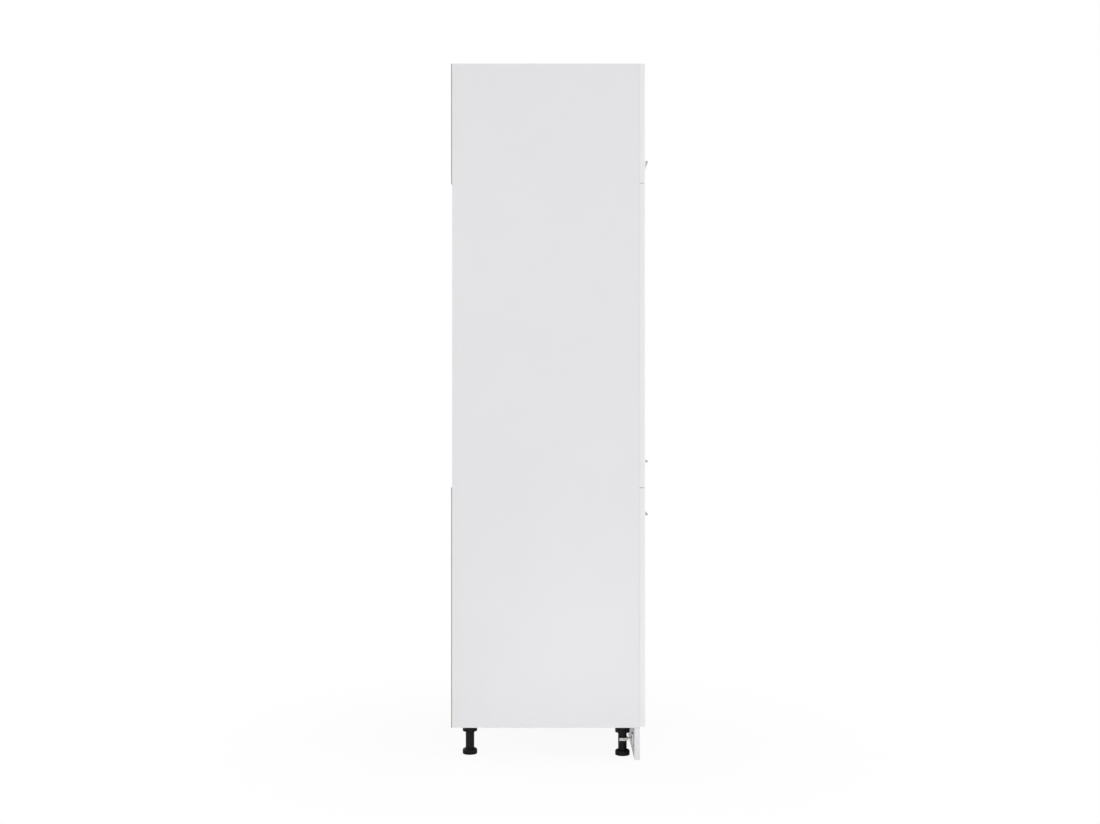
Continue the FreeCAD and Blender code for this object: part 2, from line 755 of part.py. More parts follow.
def bowed_band(half_width):
    """The link's curved strip from one pivot to the other."""
    start, end = Vector(*cup_pivot(), 0), Vector(*arm_pivot(), 0)
    chord = end - start
    across = Vector(-chord.y, chord.x, 0).normalize()
    bow = value("hinge_link_bow")
    radius = (chord.Length**2/4 + bow**2)/(2*bow)
    centre = (start + end)/2 + across*(bow - radius)

    def arc(offset):
        spokes = [(point - centre).normalize() for point in (start, centre + across, end)]
        points = [centre + spoke*(radius + offset) for spoke in spokes]
        return Part.Arc(*[hinge_point(point.x, point.y) for point in points]).toShape()
    half_thick = value("hinge_link_thick")/2
    outer, inner = arc(half_thick), arc(-half_thick)
    first_cap = Part.makeLine(outer.valueAt(outer.FirstParameter), inner.valueAt(inner.FirstParameter))
    last_cap = Part.makeLine(outer.valueAt(outer.LastParameter), inner.valueAt(inner.LastParameter))
    band = Part.Face(Part.Wire(Part.__sortEdges__([outer, last_cap, inner, first_cap])))
    return band.extrude(Vector(0, 0, 2*half_width)).translated(Vector(0, 0, -half_width))


def arm_screw_backs():
    """How far back the arm's two screws are."""
    return [-value("arm_screw_front_back"), -value("arm_screw_rear_back")]


def hinge_arm():
    """A channel arm: two cheeks that narrow to the pivot, joined by a web."""
    pivot, eye = arm_pivot(), value("hinge_eye_radius")
    neck, rear = -value("arm_neck_back"), -value("arm_length")
    base, web = value("arm_base_in"), value("arm_web_in")
    web_inner = value("arm_web_in - arm_web_thick")
    low, high = value("ear_inner"), value("ear_outer")
    tip = [(pivot[0] - eye, pivot[1]), (pivot[0] + eye, pivot[1])]
    outline = [(base, rear), (base, neck), *tip, (web, neck), (web, rear)]
    solid = block((web_inner, web), (rear, neck), -high, high)
    for start, end in ((low, high), (-high, -low)):
        solid = solid.fuse(slab(outline, start, end)).fuse(pin_rod(pivot, eye, start, end))
    solid = solid.cut(pin_rod(pivot, value("hinge_pin_bore"), -2*high, 2*high))
    for back in arm_screw_backs():
        start = (web_inner - value("overrun"), back)
        solid = solid.cut(across_rod(start, value("arm_screw_bore"), value("arm_web_thick + 2*overrun")))
    return solid.removeSplitter()


def hinge_plate():
    """The mounting plate: two wings on the side panel and a ridge that fills the arm's channel."""
    face, top = value("panel_thick"), value("panel_thick + plate_thick")
    ridge = value("arm_web_in - arm_web_thick")
    middle, half_deep = -value("plate_set_back"), value("plate_wing_deep")/2
    half_high, half_wide = value("plate_wing_high")/2, value("hinge_link_width")/2
    length = (-value("plate_rear_back"), -value("plate_front_back"))
    wings = block((face, top), (middle - half_deep, middle + half_deep), -half_high, half_high)
    solid = block((face, ridge), length, -half_wide, half_wide).fuse(wings)
    wing_start = (face - value("overrun"), middle)
    wing_hole = across_rod(wing_start, value("screw_bore"), value("plate_thick + 2*overrun"))
    for hole in above_and_below(wing_hole, "plate_screw_spacing"):
        solid = solid.cut(hole)
    for back in arm_screw_backs():
        start = (ridge - value("arm_screw_long"), back)
        solid = solid.cut(across_rod(start, value("arm_screw_bore"), value("arm_screw_long + overrun")))
    return solid.removeSplitter()


def hinge_arm_screws():
    """Two screws through the arm's web into the plate."""
    web = value("arm_web_in")
    long = value("arm_web_thick + arm_screw_long - overrun")
    solids = []
    for back in arm_screw_backs():
        shank = across_rod((web - long, back), value("arm_screw_radius"), long)
        head = across_rod((web, back), value("arm_screw_head_radius"), value("arm_screw_head_thick"))
        solids.append(shank.fuse(head))
    return solids


def hinge_plate_screws():
    """Two wood screws through the plate's wings."""
    seat, back = value("panel_thick + plate_thick"), -value("plate_set_back")
    long = value("plate_thick + wood_screw_long")
    shank = across_rod((seat - long, back), value("wood_screw_radius"), long)
    head = across_rod((seat, back), value("wood_screw_head_radius"), value("wood_screw_head_thick"))
    return above_and_below(shank.fuse(head), "plate_screw_spacing")


def hinge_cup():
    """A cup let into the door, with screw wings and two ears that hold the link's pin."""
    centre, gap = value("cup_centre_in"), value("door_gap")
    flange = value("door_gap - cup_flange_thick")
    wing_start, wing_end = value("cup_flange_in"), value("cup_flange_in + cup_flange_wide")
    half_long = value("cup_flange_long")/2
    shell = out_rod((centre, gap), value("cup_radius"), value("cup_deep"))
    wings = block((wing_start, wing_end), (flange, gap), -half_long, half_long)
    cavity_start = (centre, flange - value("overrun"))
    cavity_deep = value("cup_deep - cup_floor + cup_flange_thick + overrun")
    solid = shell.fuse(wings).cut(out_rod(cavity_start, value("cup_radius - cup_wall"), cavity_deep))
    for ear in cup_ears():
        solid = solid.fuse(ear.common(shell))
    reach = value("ear_outer")
    solid = solid.cut(pin_rod(cup_pivot(), value("hinge_pin_bore"), -reach, reach))
    screw_start = (value("cup_centre_in + cup_screw_offset"), flange - value("overrun"))
    screw_hole = out_rod(screw_start, value("screw_bore"), value("cup_flange_thick + 2*overrun"))
    for hole in above_and_below(screw_hole, "cup_screw_spacing"):
        solid = solid.cut(hole)
    return solid.removeSplitter()


def cup_ears():
    """The two ears that stand on the cup's floor beside the link."""
    pivot, eye = cup_pivot(), value("hinge_eye_radius")
    seat = value("door_gap + cup_deep - cup_floor/2")
    low, high = value("ear_inner"), value("ear_outer")
    ears = []
    for start, end in ((low, high), (-high, -low)):
        post = block((pivot[0] - eye, pivot[0] + eye), (pivot[1], seat), start, end)
        ears.append(post.fuse(pin_rod(pivot, eye, start, end)))
    return ears


def hinge_cup_screws():
    """Two wood screws through the cup's wings into the door."""
    seat, place = value("door_gap - cup_flange_thick"), value("cup_centre_in + cup_screw_offset")
    head_start = (place, seat - value("wood_screw_head_thick"))
    shank = out_rod((place, seat), value("wood_screw_radius"), value("cup_flange_thick + wood_screw_long"))
    head = out_rod(head_start, value("wood_screw_head_radius"), value("wood_screw_head_thick"))
    return above_and_below(shank.fuse(head), "cup_screw_spacing")


def hinge_pin(pivot):
    """The pin of one pivot, flush with the ears that hold it."""
    reach = value("ear_outer")
    return pin_rod(pivot, value("hinge_pin_radius"), -reach, reach)


def at_levels(solids, levels):
    """Copies of a hinge's solids at each hinge level."""
    heights = [value(level) for level in levels]
    return [solid.translated(Vector(0, 0, height)) for height in heights for solid in solids]


def fixed_hinge_parts():
    """Everything of the hinges that stays on the carcass."""
    levels = all_hinge_levels()
    shape("hinge_plates", at_levels([hinge_plate()], levels))
    shape("hinge_plate_screws", at_levels(hinge_plate_screws(), levels))
    shape("hinge_arms", at_levels([hinge_arm()], levels))
    shape("hinge_arm_screws", at_levels(hinge_arm_screws(), levels))
    shape("hinge_arm_pins", at_levels([hinge_pin(arm_pivot())], levels))


# Doors
def door(name):
    """One door: its panel, handle, handle screws, hinge cups, links and buffers."""
    levels = hinge_levels(name)
    node(f"{name}_door_panel", door_panel(name, levels))
    node(f"{name}_door_handle", handle(f"{name}_handle_level"))
    group(f"{name}_door_handle_screws", handle_screws(f"{name}_handle_level"))
    shape(f"{name}_door_hinge_links", at_levels([hinge_link()], levels))
    shape(f"{name}_door_hinge_cups", at_levels([hinge_cup()], levels))
    shape(f"{name}_door_cup_pins", at_levels([hinge_pin(cup_pivot())], levels))
    shape(f"{name}_door_cup_screws", at_levels(hinge_cup_screws(), levels))
    places = buffer_places(name, "door_back - buffer_sink")
    group(f"{name}_door_buffers", rods(places, "y", "buffer_radius", "buffer_sink + door_gap"))


def buffer_places(name, depth):
    """Where a door's buffers are let in, near the corners away from the hinges."""
    base = f"{name}_door_base"
    levels = (f"{base} + buffer_corner_offset", f"{base} + {name}_door_height - buffer_corner_offset")
    return [("-half_width + panel_thick/2", depth, level) for level in levels]


def door_panel(name, levels):
    """The door board with rounded front edges, handle holes and hinge bores."""
    start = ("-half_width + door_inset", "door_front", f"{name}_door_base")
    board = box(start, "cabinet_width - 2*door_inset", "door_thick", f"{name}_door_height")
    rounded = round_edges(board, "door_edge_round", lambda edge: lies_at(edge, "Y", "door_front"))
    handle_places = handle_hole_places("door_front - overrun", f"{name}_handle_level")
    tools = rods(handle_places, "y", "handle_bore", "door_thick + 2*overrun")
    tools += rods(buffer_places(name, "door_back"), "-y", "buffer_bore", "buffer_sink")
    cup_x = "half_width - cup_centre_in"
    for level in levels:
        tools.append(rod((cup_x, "door_back", level), "-y", "cup_bore", "cup_bore_deep"))
        screw_places = [
            (f"{cup_x} - cup_screw_offset", "door_back", f"{level} {way} cup_screw_spacing/2") for way in "+-"
        ]
        tools += rods(screw_places, "-y", "screw_bore", "screw_bore_deep")
    return cut(rounded, *tools)


def handle_hole_places(depth, level):
    """Where a handle's two screws pass through a door."""
    return [(f"handle_middle {way} handle_hole_spacing/2", depth, level) for way in "-+"]


def handle(level):
    """A slim bar on two posts, tapped from behind."""
    bar_start = ("handle_start", "handle_front", f"{level} - handle_bar_high/2")
    bar = box(bar_start, "handle_length", "handle_bar_deep", "handle_bar_high")
    soft = round_edges(bar, "handle_bar_round", lambda edge: True)
    post_places = handle_hole_places("door_front", level)
    posts = rods(post_places, "-y", "handle_post_radius", "handle_reach - handle_bar_deep/2")
    bore_places = handle_hole_places("door_front + overrun", level)
    bores = rods(bore_places, "-y", "handle_bore", "handle_bore_deep")
    return cut(fuse(soft, *posts), *bores)


def handle_screws(level):
    """Machine screws through the door into the posts."""
    places = handle_hole_places("door_back", level)
    heads = rods(places, "y", "handle_screw_head_radius", "handle_screw_head_thick")
    shanks = rods(places, "-y", "handle_screw_radius", "door_thick + handle_screw_bite")
    return [fuse(head, shank) for head, shank in zip(heads, shanks)]


def check(items):
    """Stop if any object failed or a sub-part's shape is unusable."""
    for item in doc.Objects:
        if {"Invalid", "Error"} & set(item.State):
            raise RuntimeError(f"{item.Name} ({item.Label}) failed: {item.State}")
    for item in items:
        if item.Shape.isNull() or not item.Shape.isValid():
            raise RuntimeError(f"{item.Label} has no valid shape")


def main():
    """Build every sub-part, test it and write its file."""
    side_panels()
    fixed_panels()
    panel_fasteners()
    back_sheets()
    loose_shelf()
    wall_brackets()
    legs()
    plinth()
    fixed_hinge_parts()
    for name in HINGE_LEVEL_SHARES:
        door(name)
    doc.recompute()
    check(nodes)
    os.makedirs("parts", exist_ok=True)
    for item in nodes:
        item.Shape.exportStep(f"parts/{item.Label}.step")
        print(f"{item.Label}: {len(item.Shape.Solids)} solids, {item.Shape.Volume:.0f} cubic mm")


main()
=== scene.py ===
"""The looks of a tall white kitchen housing cabinet, laid out as a Blender add-on and run as a script."""
from functools import cache
from math import radians, tau

import bmesh
import bpy
from bpy.props import FloatProperty, FloatVectorProperty, IntProperty, PointerProperty
from bpy.types import Operator, Panel, PropertyGroup
from mathutils import Matrix, Vector


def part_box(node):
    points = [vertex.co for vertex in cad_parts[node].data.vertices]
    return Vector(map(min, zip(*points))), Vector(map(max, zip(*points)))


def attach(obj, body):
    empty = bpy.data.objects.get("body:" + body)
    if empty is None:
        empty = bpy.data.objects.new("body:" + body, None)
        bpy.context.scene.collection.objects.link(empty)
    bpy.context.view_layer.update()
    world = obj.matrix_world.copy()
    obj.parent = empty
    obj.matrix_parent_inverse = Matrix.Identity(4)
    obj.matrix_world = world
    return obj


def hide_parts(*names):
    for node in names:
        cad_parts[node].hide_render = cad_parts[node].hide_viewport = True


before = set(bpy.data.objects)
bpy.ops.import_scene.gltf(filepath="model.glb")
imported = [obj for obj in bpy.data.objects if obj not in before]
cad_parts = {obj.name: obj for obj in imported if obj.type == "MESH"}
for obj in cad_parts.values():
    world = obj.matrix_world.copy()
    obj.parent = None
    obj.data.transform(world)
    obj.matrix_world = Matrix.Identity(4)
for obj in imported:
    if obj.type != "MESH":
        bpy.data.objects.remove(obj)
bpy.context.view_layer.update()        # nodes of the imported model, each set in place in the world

bl_info = {
    "name": "Tall Housing Cabinet",
    "version": (1, 0, 0),
    "blender": (4, 5, 0),
    "location": "View3D > Sidebar > Cabinet",
    "description": "Boards, doors, fittings, legs and plinth of a tall housing cabinet, and a plain stage",
    "category": "Object",
}

# Distance in metres within which corners are joined
MERGE = 1e-6
# Turn between two faces up to which they count as one plane, past which their edge shades sharp, and past
# which it is rounded
LEVEL_TURN = radians(0.5)
SHARP_TURN = radians(35)
HARD_TURN = radians(40)
DOORS = ("lower", "middle", "upper")
FEET = ("front_left", "front_right", "rear_left", "rear_right")
# The axis across each board's thickness
BOARDS = {
    "left_side_panel": 0,
    "right_side_panel": 0,
    "bottom_panel": 2,
    "niche_floor": 2,
    "niche_ceiling": 2,
    "top_panel": 2,
    "loose_shelf": 2,
}
# Turns that carry +Z to the way a screw's head or a turned piece faces
FACING = {
    "-x": Matrix.Rotation(radians(-90), 4, "Y"),
    "-y": Matrix.Rotation(radians(90), 4, "X"),
    "+y": Matrix.Rotation(radians(-90), 4, "X"),
    "-z": Matrix.Rotation(radians(180), 4, "X"),
}
# Half profiles of turned pieces, as shares of a radius and a height
NAIL_SHARES = ((0, -4), (1, -2), (1, 0.4), (0.7, 1), (0, 1))
DOME_SHARES = ((0, 0), (1, 0), (1, 0.3), (0.9, 0.62), (0.68, 0.87), (0.4, 0.98), (0, 1))
POST_SHARES = (
    (0, 0), (1.36, 0), (1.36, 0.05), (1.28, 0.09), (1.1, 0.15), (1, 0.25), (0.96, 0.5), (0.96, 0.8),
    (0.99, 0.94), (0.99, 1.05), (0, 1.05),
)
PAD_SHARES = (
    (0, 0.05), (0.76, 0.05), (0.8, 0), (0.93, 0), (0.985, 0.03), (1, 0.08), (1, 0.16), (1, 0.66), (1, 0.73),
    (0.978, 0.83), (0.918, 0.92), (0.83, 0.977), (0.73, 1), (0.64, 1), (0.62, 0.97), (0, 0.97),
)
# Rings of a screw below its recess: shares of the head's radius and thickness, then of the shank's length
HEAD_RINGS = ((0.9, 0.28), (0.98, 0.5), (1, 0.72), (1, 0.94), (0.97, 1), (0.6, 1))
SHANK_RINGS = ((0.6, 0.8), (0.05, 1))
# Degrees by which the first screw of a node is turned, and each one after it
FIRST_SCREW, NEXT_SCREW = 17, 37
# Place, aim, width in metres and power in watts of each lamp
LAMPS = {
    "key_lamp": ((-2.2, -5.4, 2.6), (0, 0, 1.0), 3.2, 160),
    "side_lamp": ((-8.6, 1.8, 2.6), (0, 0, 1.5), 2.4, 151),
    "low_lamp": ((-1.2, -0.08, 0.12), (-0.3, -0.12, 0.08), 0.4, 0.85),
    "rear_lamp": ((2.6, 4.8, 3.2), (0, 0, 1.1), 3.0, 110),
}


def length(name, description, default):
    """A length that a user may change."""
    return FloatProperty(name=name, description=description, default=default, unit="LENGTH", precision=5)


def colour(name, description, default):
    """A colour that a user may change, as linear red, green and blue."""
    return FloatVectorProperty(
        name=name, description=description, default=default, subtype="COLOR", min=0, max=1
    )


def fraction(name, description, default):
    """A number from nought to one that a user may change."""
    return FloatProperty(name=name, description=description, default=default, subtype="FACTOR", min=0, max=1)


class CabinetSizes(PropertyGroup):
    """Small sizes of the finishing details."""
    board_round: length("Board rounding", "Softening of the boards' edges", 0.0004)
    fitting_round: length("Fitting rounding", "Softening of pressed and moulded fittings", 0.00025)
    arm_round: length("Arm rounding", "Softening of the hinges' arms", 0.00045)
    plate_corner: length("Plate corners", "Corner radius of the hinges' plates", 0.0045)
    plate_limit: length("Plate limit", "Thickest plate whose corners are rounded", 0.0032)
    skin: length("Skin", "Thickness of the white skin on a board's faces", 0.00035)
    band: length("Front band", "Thickness of the band on a board's front edge", 0.0009)
    band_seam: length("Band seam", "Half the width of the line between a front band and the face", 0.00012)
    foil: length("Door foil", "Depth to which the foil's white reaches into a door", 0.0009)
    foil_lap: length("Foil lap", "How far the foil's end lies from a door's back", 0.0006)
    foil_line: length("Foil line", "Half the width of the line at the foil's end", 0.00018)
    lacquer: length("Lacquer", "Depth of a back sheet's white lacquer and of its pale edges", 0.0004)
    nail_spacing: length("Nail spacing", "Greatest distance between the nails of a back sheet", 0.11)
    nail_radius: length("Nail head", "Radius of a back sheet's nail heads", 0.0016)
    nail_rise: length("Nail rise", "How far a nail head stands above the sheet", 0.00025)
    wood_head: length("Wood screw head", "Thickness of a wood screw's head", 0.0016)
    arm_head: length("Hinge screw head", "Thickness of a hinge arm screw's head", 0.002)
    handle_head: length("Handle screw head", "Thickness of a handle screw's head", 0.0024)
    bar_high: length("Handle bar height", "Height of a handle's bar", 0.006)
    bar_deep: length("Handle bar depth", "Depth of a handle's bar", 0.005)
    bar_round: length("Handle bar rounding", "Rounding of a handle's bar", 0.0012)
    post_spacing: length("Post spacing", "Distance between a handle's posts", 0.128)
    post_radius: length("Post radius", "Radius of a handle's posts", 0.0035)
    thread_pitch: length("Thread pitch", "Pitch of a foot's thread", 0.0032)
    thread_deep: length("Thread depth", "Depth of a foot's thread", 0.0011)
    thread_lead: length("Thread lead", "Bevel at the top of a foot's stem", 0.001)
    foot_flutes: IntProperty(name="Foot flutes", description="Grip flutes round a foot", default=36, min=8)


class CabinetColours(PropertyGroup):
    """Main colours of the finishes."""
    white: colour("White board", "Melamine face of the boards", (0.776, 0.776, 0.791))
    front: colour("White front", "Foil of the doors", (0.812, 0.810, 0.827))
    chip_pale: colour("Pale chip", "Palest chips of the raw board", (0.56, 0.40, 0.24))
    chip_dark: colour("Dark chip", "Darkest chips of the raw board", (0.27, 0.165, 0.085))
    hardboard: colour("Hardboard", "Raw side and edges of the back sheets", (0.45, 0.30, 0.19))
    nickel: colour("Satin nickel", "Handles", (0.52, 0.518, 0.512))
    steel: colour("Plated steel", "Hinges, brackets and pins", (0.70, 0.69, 0.67))
    zinc: colour("Zinc", "Screws, bolts and cams", (0.60, 0.62, 0.64))
    black: colour("Black plastic", "Legs", (0.0055, 0.0055, 0.006))
    natural: colour("Natural plastic", "Plinth clips", (0.78, 0.78, 0.765))
    beech: colour("Beech", "Dowels", (0.62, 0.43, 0.27))
    clear: colour("Clear buffer", "Door buffers", (0.84, 0.86, 0.85))


class StageSettings(PropertyGroup):
    """Camera and light."""
    camera_out: length("Camera distance", "From the left side's face to the camera", 3.938)
    camera_ahead: length("Camera ahead", "From the rear of the sides to the camera's line", 0.2904)
    camera_below: length("Camera below", "From the top of the sides to the camera's line", 1.0333)
    view_angle: FloatProperty(
        name="View angle", description="Across the picture", default=radians(45), subtype="ANGLE"
    )
    room_light: fraction("Room light", "Strength of the room's even light", 0.5)
    floor_reach: length("Floor reach", "Half the width of the floor", 20.0)
    floor_drop: length("Floor drop", "How far the floor lies under the feet", 0.0003)
    floor_grey: fraction("Floor grey", "How much light the floor gives back", 0.86)
    shadow_near: length("Shadow near", "Distance within which the floor's shadow is full", 0.35)
    shadow_far: length("Shadow far", "Distance at which the floor's shadow has faded", 1.2)
    shadow_lift: fraction("Shadow lift", "How far the floor's glow hides a full shadow", 0.93)


class Signal:
    """A number that varies over a surface: sums and tests on it add Math nodes."""

    def __init__(self, maker, socket):
        self.maker = maker
        self.socket = socket

    def output(self, key):
        """Another output of the node that this one comes from."""
        return Signal(self.maker, self.socket.node.outputs[key])

    def math(self, operation, first, second=0.0):
        """The outcome of a Math node."""
        return self.maker.add("ShaderNodeMath", {"operation": operation}, {0: first, 1: second})

    def __add__(self, other):
        return self.math("ADD", self, other)

    def __radd__(self, other):
        return self.math("ADD", other, self)

    def __sub__(self, other):
        return self.math("SUBTRACT", self, other)

    def __rsub__(self, other):
        return self.math("SUBTRACT", other, self)

    def __mul__(self, other):
        return self.math("MULTIPLY", self, other)

    def __rmul__(self, other):
        return self.math("MULTIPLY", other, self)

    def __gt__(self, other):
        return self.math("GREATER_THAN", self, other)

    def __lt__(self, other):
        return self.math("LESS_THAN", self, other)

    def __or__(self, other):
        return self.math("MAXIMUM", self, other)

    def __abs__(self):
        return self.math("ABSOLUTE", self)


class NodeMaker:
    """Adds nodes to one node tree."""

    def __init__(self, tree):
        self.tree = tree

    def add(self, kind, settings=None, sockets=None, output=0):
        """A node of a type, with its settings and the values or links of its sockets."""
        made = self.tree.nodes.new(kind)
        for name, setting in (settings or {}).items():
            if name == "stops":
                self.set_stops(made.color_ramp, setting)
            else:
                setattr(made, name, setting)
        for key, given in (sockets or {}).items():
            self.plug(made.inputs[key], given)
        return Signal(self, made.outputs[output]) if made.outputs else None

    def set_stops(self, ramp, stops):
        """Places and colours of a ramp's stops."""
        while len(ramp.elements) < len(stops):
            ramp.elements.new(1.0)
        for element, (place, tint) in zip(ramp.elements, stops):
            element.position = place
            element.color = (*tint, 1)

    def plug(self, socket, given):
        """Link a socket, or set its value."""
        if isinstance(given, Signal):
            self.tree.links.new(given.socket, socket)
        elif socket.type == "RGBA":
            socket.default_value = (*given, 1)
        else:
            socket.default_value = given

    def mix(self, share, first, second):
        """A colour between two others: the Mix node's colours go in at 6 and 7 and come out at 2."""
        return self.add("ShaderNodeMix", {"data_type": "RGBA"}, {0: share, 6: first, 7: second}, output=2)


class Finish(NodeMaker):
    """A material with one Principled shader, patterned by the place on the object."""

    def __init__(self, name):
        self.material = bpy.data.materials.new(name)
        self.material.use_nodes = True
        super().__init__(self.material.node_tree)
        self.shader = self.tree.nodes["Principled BSDF"]
        self.place = self.add("ShaderNodeTexCoord", output="Object")
        parts = self.add("ShaderNodeSeparateXYZ", sockets={0: self.place})
        self.axes = [parts.output(index) for index in range(3)]

    def shade(self, sockets):
        """Set or link the shader's sockets by name."""
        for name, given in sockets.items():
            self.plug(self.shader.inputs[name], given)
        return self.material

    def stretched(self, scales):
        """The place on the object, scaled by one number or by one for each axis."""
        if not isinstance(scales, tuple):
            scales = (scales,) * 3
        return self.add("ShaderNodeVectorMath", {"operation": "MULTIPLY"}, {0: self.place, 1: scales})

    def noise(self, scales, detail=2.0):
        """Smooth noise with so many cycles a metre."""
        sockets = {"Vector": self.stretched(scales), "Scale": 1.0, "Detail": detail}
        return self.add("ShaderNodeTexNoise", None, sockets)

    def chips(self, scales):
        """A random shade for each cell of a broken pattern."""
        sockets = {"Vector": self.stretched(scales), "Scale": 1.0}
        cells = self.add("ShaderNodeTexVoronoi", None, sockets, output="Color")
        return self.add("ShaderNodeSeparateColor", None, {0: cells})

    def ramp(self, given, stops):
        """A colour from a number by stops."""
        return self.add("ShaderNodeValToRGB", {"stops": stops}, {0: given})

    def bump(self, height, deep):
        """A normal from a height pattern of so many metres."""
        return self.add("ShaderNodeBump", None, {"Distance": deep, "Height": height})

    def outside(self, axis, low, high, deep):
        """One within a depth of either end of a span along an axis, and nought further in."""
        middle, half = (low[axis] + high[axis]) / 2, (high[axis] - low[axis]) / 2
        return abs(self.axes[axis] - middle) > half - deep


def tint(base, factor):
    """A colour lightened or darkened."""
    return tuple(min(1.0, part * factor) for part in base)


def chipboard(finish, thin, colours):
    """Raw chipboard: flat chips that lie along the board, with dark gaps and pale dust."""
    across, along = 800.0, 230.0
    scales = tuple(across if axis == thin else along for axis in range(3))
    dust = finish.noise(tuple(4 * scale for scale in scales), detail=3.0)
    shade = finish.chips(scales) * 0.65 + dust * 0.35
    middle = tuple((a + b) / 2 for a, b in zip(colours.chip_pale, colours.chip_dark))
    stops = [(0.12, colours.chip_dark), (0.42, middle), (0.85, colours.chip_pale)]
    return shade, finish.ramp(shade, stops)


def board_finish(name, thin, banded=()):
    """White melamine on a board's faces and front band, and raw chipboard on bare edges and in bores."""
    colours, sizes = bpy.context.scene.cabinet_colours, bpy.context.scene.cabinet_sizes
    finish = Finish(f"white_board_{name}")
    low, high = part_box(name)
    white = finish.outside(thin, low, high, sizes.skin)
    band_edge = low.y + sizes.band
    white = white | (finish.axes[1] < band_edge)
    for axis in banded:
        white = white | finish.outside(axis, low, high, sizes.band)
    seam = abs(finish.axes[1] - band_edge) < sizes.band_seam
    shade, raw = chipboard(finish, thin, colours)
    cloud = finish.noise(6.0, detail=3.0)
    pearl = finish.noise(1400.0)
    face = finish.mix(cloud, tint(colours.white, 0.985), tint(colours.white, 1.012))
    face = finish.mix(seam * 0.25, face, tint(colours.white, 0.62))
    height = pearl * white * 0.35 + shade * (1.0 - white)
    return finish.shade({
        "Base Color": finish.mix(white, raw, face),
        "Roughness": (0.36 + pearl * 0.08 + cloud * 0.04) * white + (1.0 - white) * 0.9,
        "Normal": finish.bump(height, deep=0.00012),
        "Specular IOR Level": 0.45,
    })


@cache
def door_finish(name):
    """A satin white foil front over fibreboard, with a hairline where the foil ends at the back."""
    colours, sizes = bpy.context.scene.cabinet_colours, bpy.context.scene.cabinet_sizes
    finish = Finish(f"white_front_{name}")
    low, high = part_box(f"{name}_door_panel")
    covered = finish.outside(0, low, high, sizes.foil) | finish.outside(1, low, high, sizes.foil)
    covered = covered | finish.outside(2, low, high, sizes.foil)
    foil_end = abs(finish.axes[1] - (high.y - sizes.foil_lap)) < sizes.foil_line
    cloud = finish.noise(5.0, detail=3.0)
    peel = finish.noise(420.0)
    fibre = finish.noise(900.0, detail=4.0)
    face = finish.mix(cloud, tint(colours.front, 0.99), tint(colours.front, 1.012))
    face = finish.mix(foil_end * 0.35, face, tint(colours.hardboard, 1.2))
    stops = [(0.3, tint(colours.hardboard, 0.75)), (0.7, tint(colours.hardboard, 1.15))]
    core = finish.ramp(fibre, stops)
    return finish.shade({
        "Base Color": finish.mix(covered, core, face),
        "Roughness": (0.27 + cloud * 0.05 + peel * 0.05) * covered + (1.0 - covered) * 0.85,
        "Normal": finish.bump(peel * covered * 0.3 + fibre * (1.0 - covered), deep=0.0001),
        "Specular IOR Level": 0.5,
    })


@cache
def back_finish(name):
    """Hardboard: white lacquer inside and brown fibres outside."""
    colours, deep = bpy.context.scene.cabinet_colours, bpy.context.scene.cabinet_sizes.lacquer
    finish = Finish(f"hardboard_{name}")
    low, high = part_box(name)
    lacquer = finish.axes[1] < low.y + deep
    edge = finish.outside(0, low, high, deep) | finish.outside(2, low, high, deep)
    fibre = finish.noise((380.0, 900.0, 1300.0), detail=6.0)
    strand = finish.noise((90.0, 400.0, 650.0), detail=3.0)
    cloud = finish.noise(9.0, detail=3.0)
    shade = fibre * 0.5 + strand * 0.34 + cloud * 0.16
    base = colours.hardboard
    stops = [(0.33, tint(base, 0.72)), (0.5, base), (0.68, tint(base, 1.18))]
    brown = finish.mix(edge * 0.6, finish.ramp(shade, stops), tint(base, 1.3))
    return finish.shade({
        "Base Color": finish.mix(lacquer, brown, tint(colours.white, 0.985)),
        "Roughness": 0.42 * lacquer + (1.0 - lacquer) * (0.55 + fibre * 0.3),
        "Normal": finish.bump(fibre * (1.0 - lacquer * 0.8), deep=0.0001),
    })


@cache
def satin_nickel():
    """Nickel brushed along the bars."""
    colours = bpy.context.scene.cabinet_colours
    finish = Finish("satin_nickel")
    hairline = finish.noise((60.0, 5200.0, 5200.0), detail=3.0)
    stroke = finish.noise((26.0, 1700.0, 1700.0), detail=3.0)
    brushed = hairline * 0.4 + stroke * 0.6
    cloud = finish.noise(40.0)
    stops = [(0.32, tint(colours.nickel, 0.8)), (0.68, tint(colours.nickel, 1.12))]
    return finish.shade({
        "Base Color": finish.ramp(brushed, stops),
        "Metallic": 1.0,
        "Roughness": 0.24 + brushed * 0.2 + cloud * 0.04,
        "Normal": finish.bump(brushed, deep=0.00004),
    })


@cache
def plated_steel():
    """Bright nickel on pressed steel, with rolling lines and faint smears."""
    colours = bpy.context.scene.cabinet_colours
    finish = Finish("plated_steel")
    rolled = finish.noise((900.0, 900.0, 2600.0), detail=3.0)
    smear = finish.noise(70.0, detail=4.0)
    return finish.shade({
        "Base Color": finish.mix(smear, tint(colours.steel, 0.86), tint(colours.steel, 1.05)),
        "Metallic": 1.0,
        "Roughness": 0.18 + smear * 0.16 + rolled * 0.06,
        "Normal": finish.bump(rolled, deep=0.00001),
    })


@cache
def zinc():
    """Blue-white zinc with a mottled passivated bloom."""
    colours = bpy.context.scene.cabinet_colours
    finish = Finish("zinc_fastener")
    bloom = finish.noise(420.0, detail=3.0)
    grain = finish.noise(2400.0)
    return finish.shade({
        "Base Color": finish.mix(bloom, tint(colours.zinc, 0.82), tint(colours.zinc, 1.06)),
        "Metallic": 1.0,
        "Roughness": 0.3 + bloom * 0.16,
        "Normal": finish.bump(grain, deep=0.00001),
    })


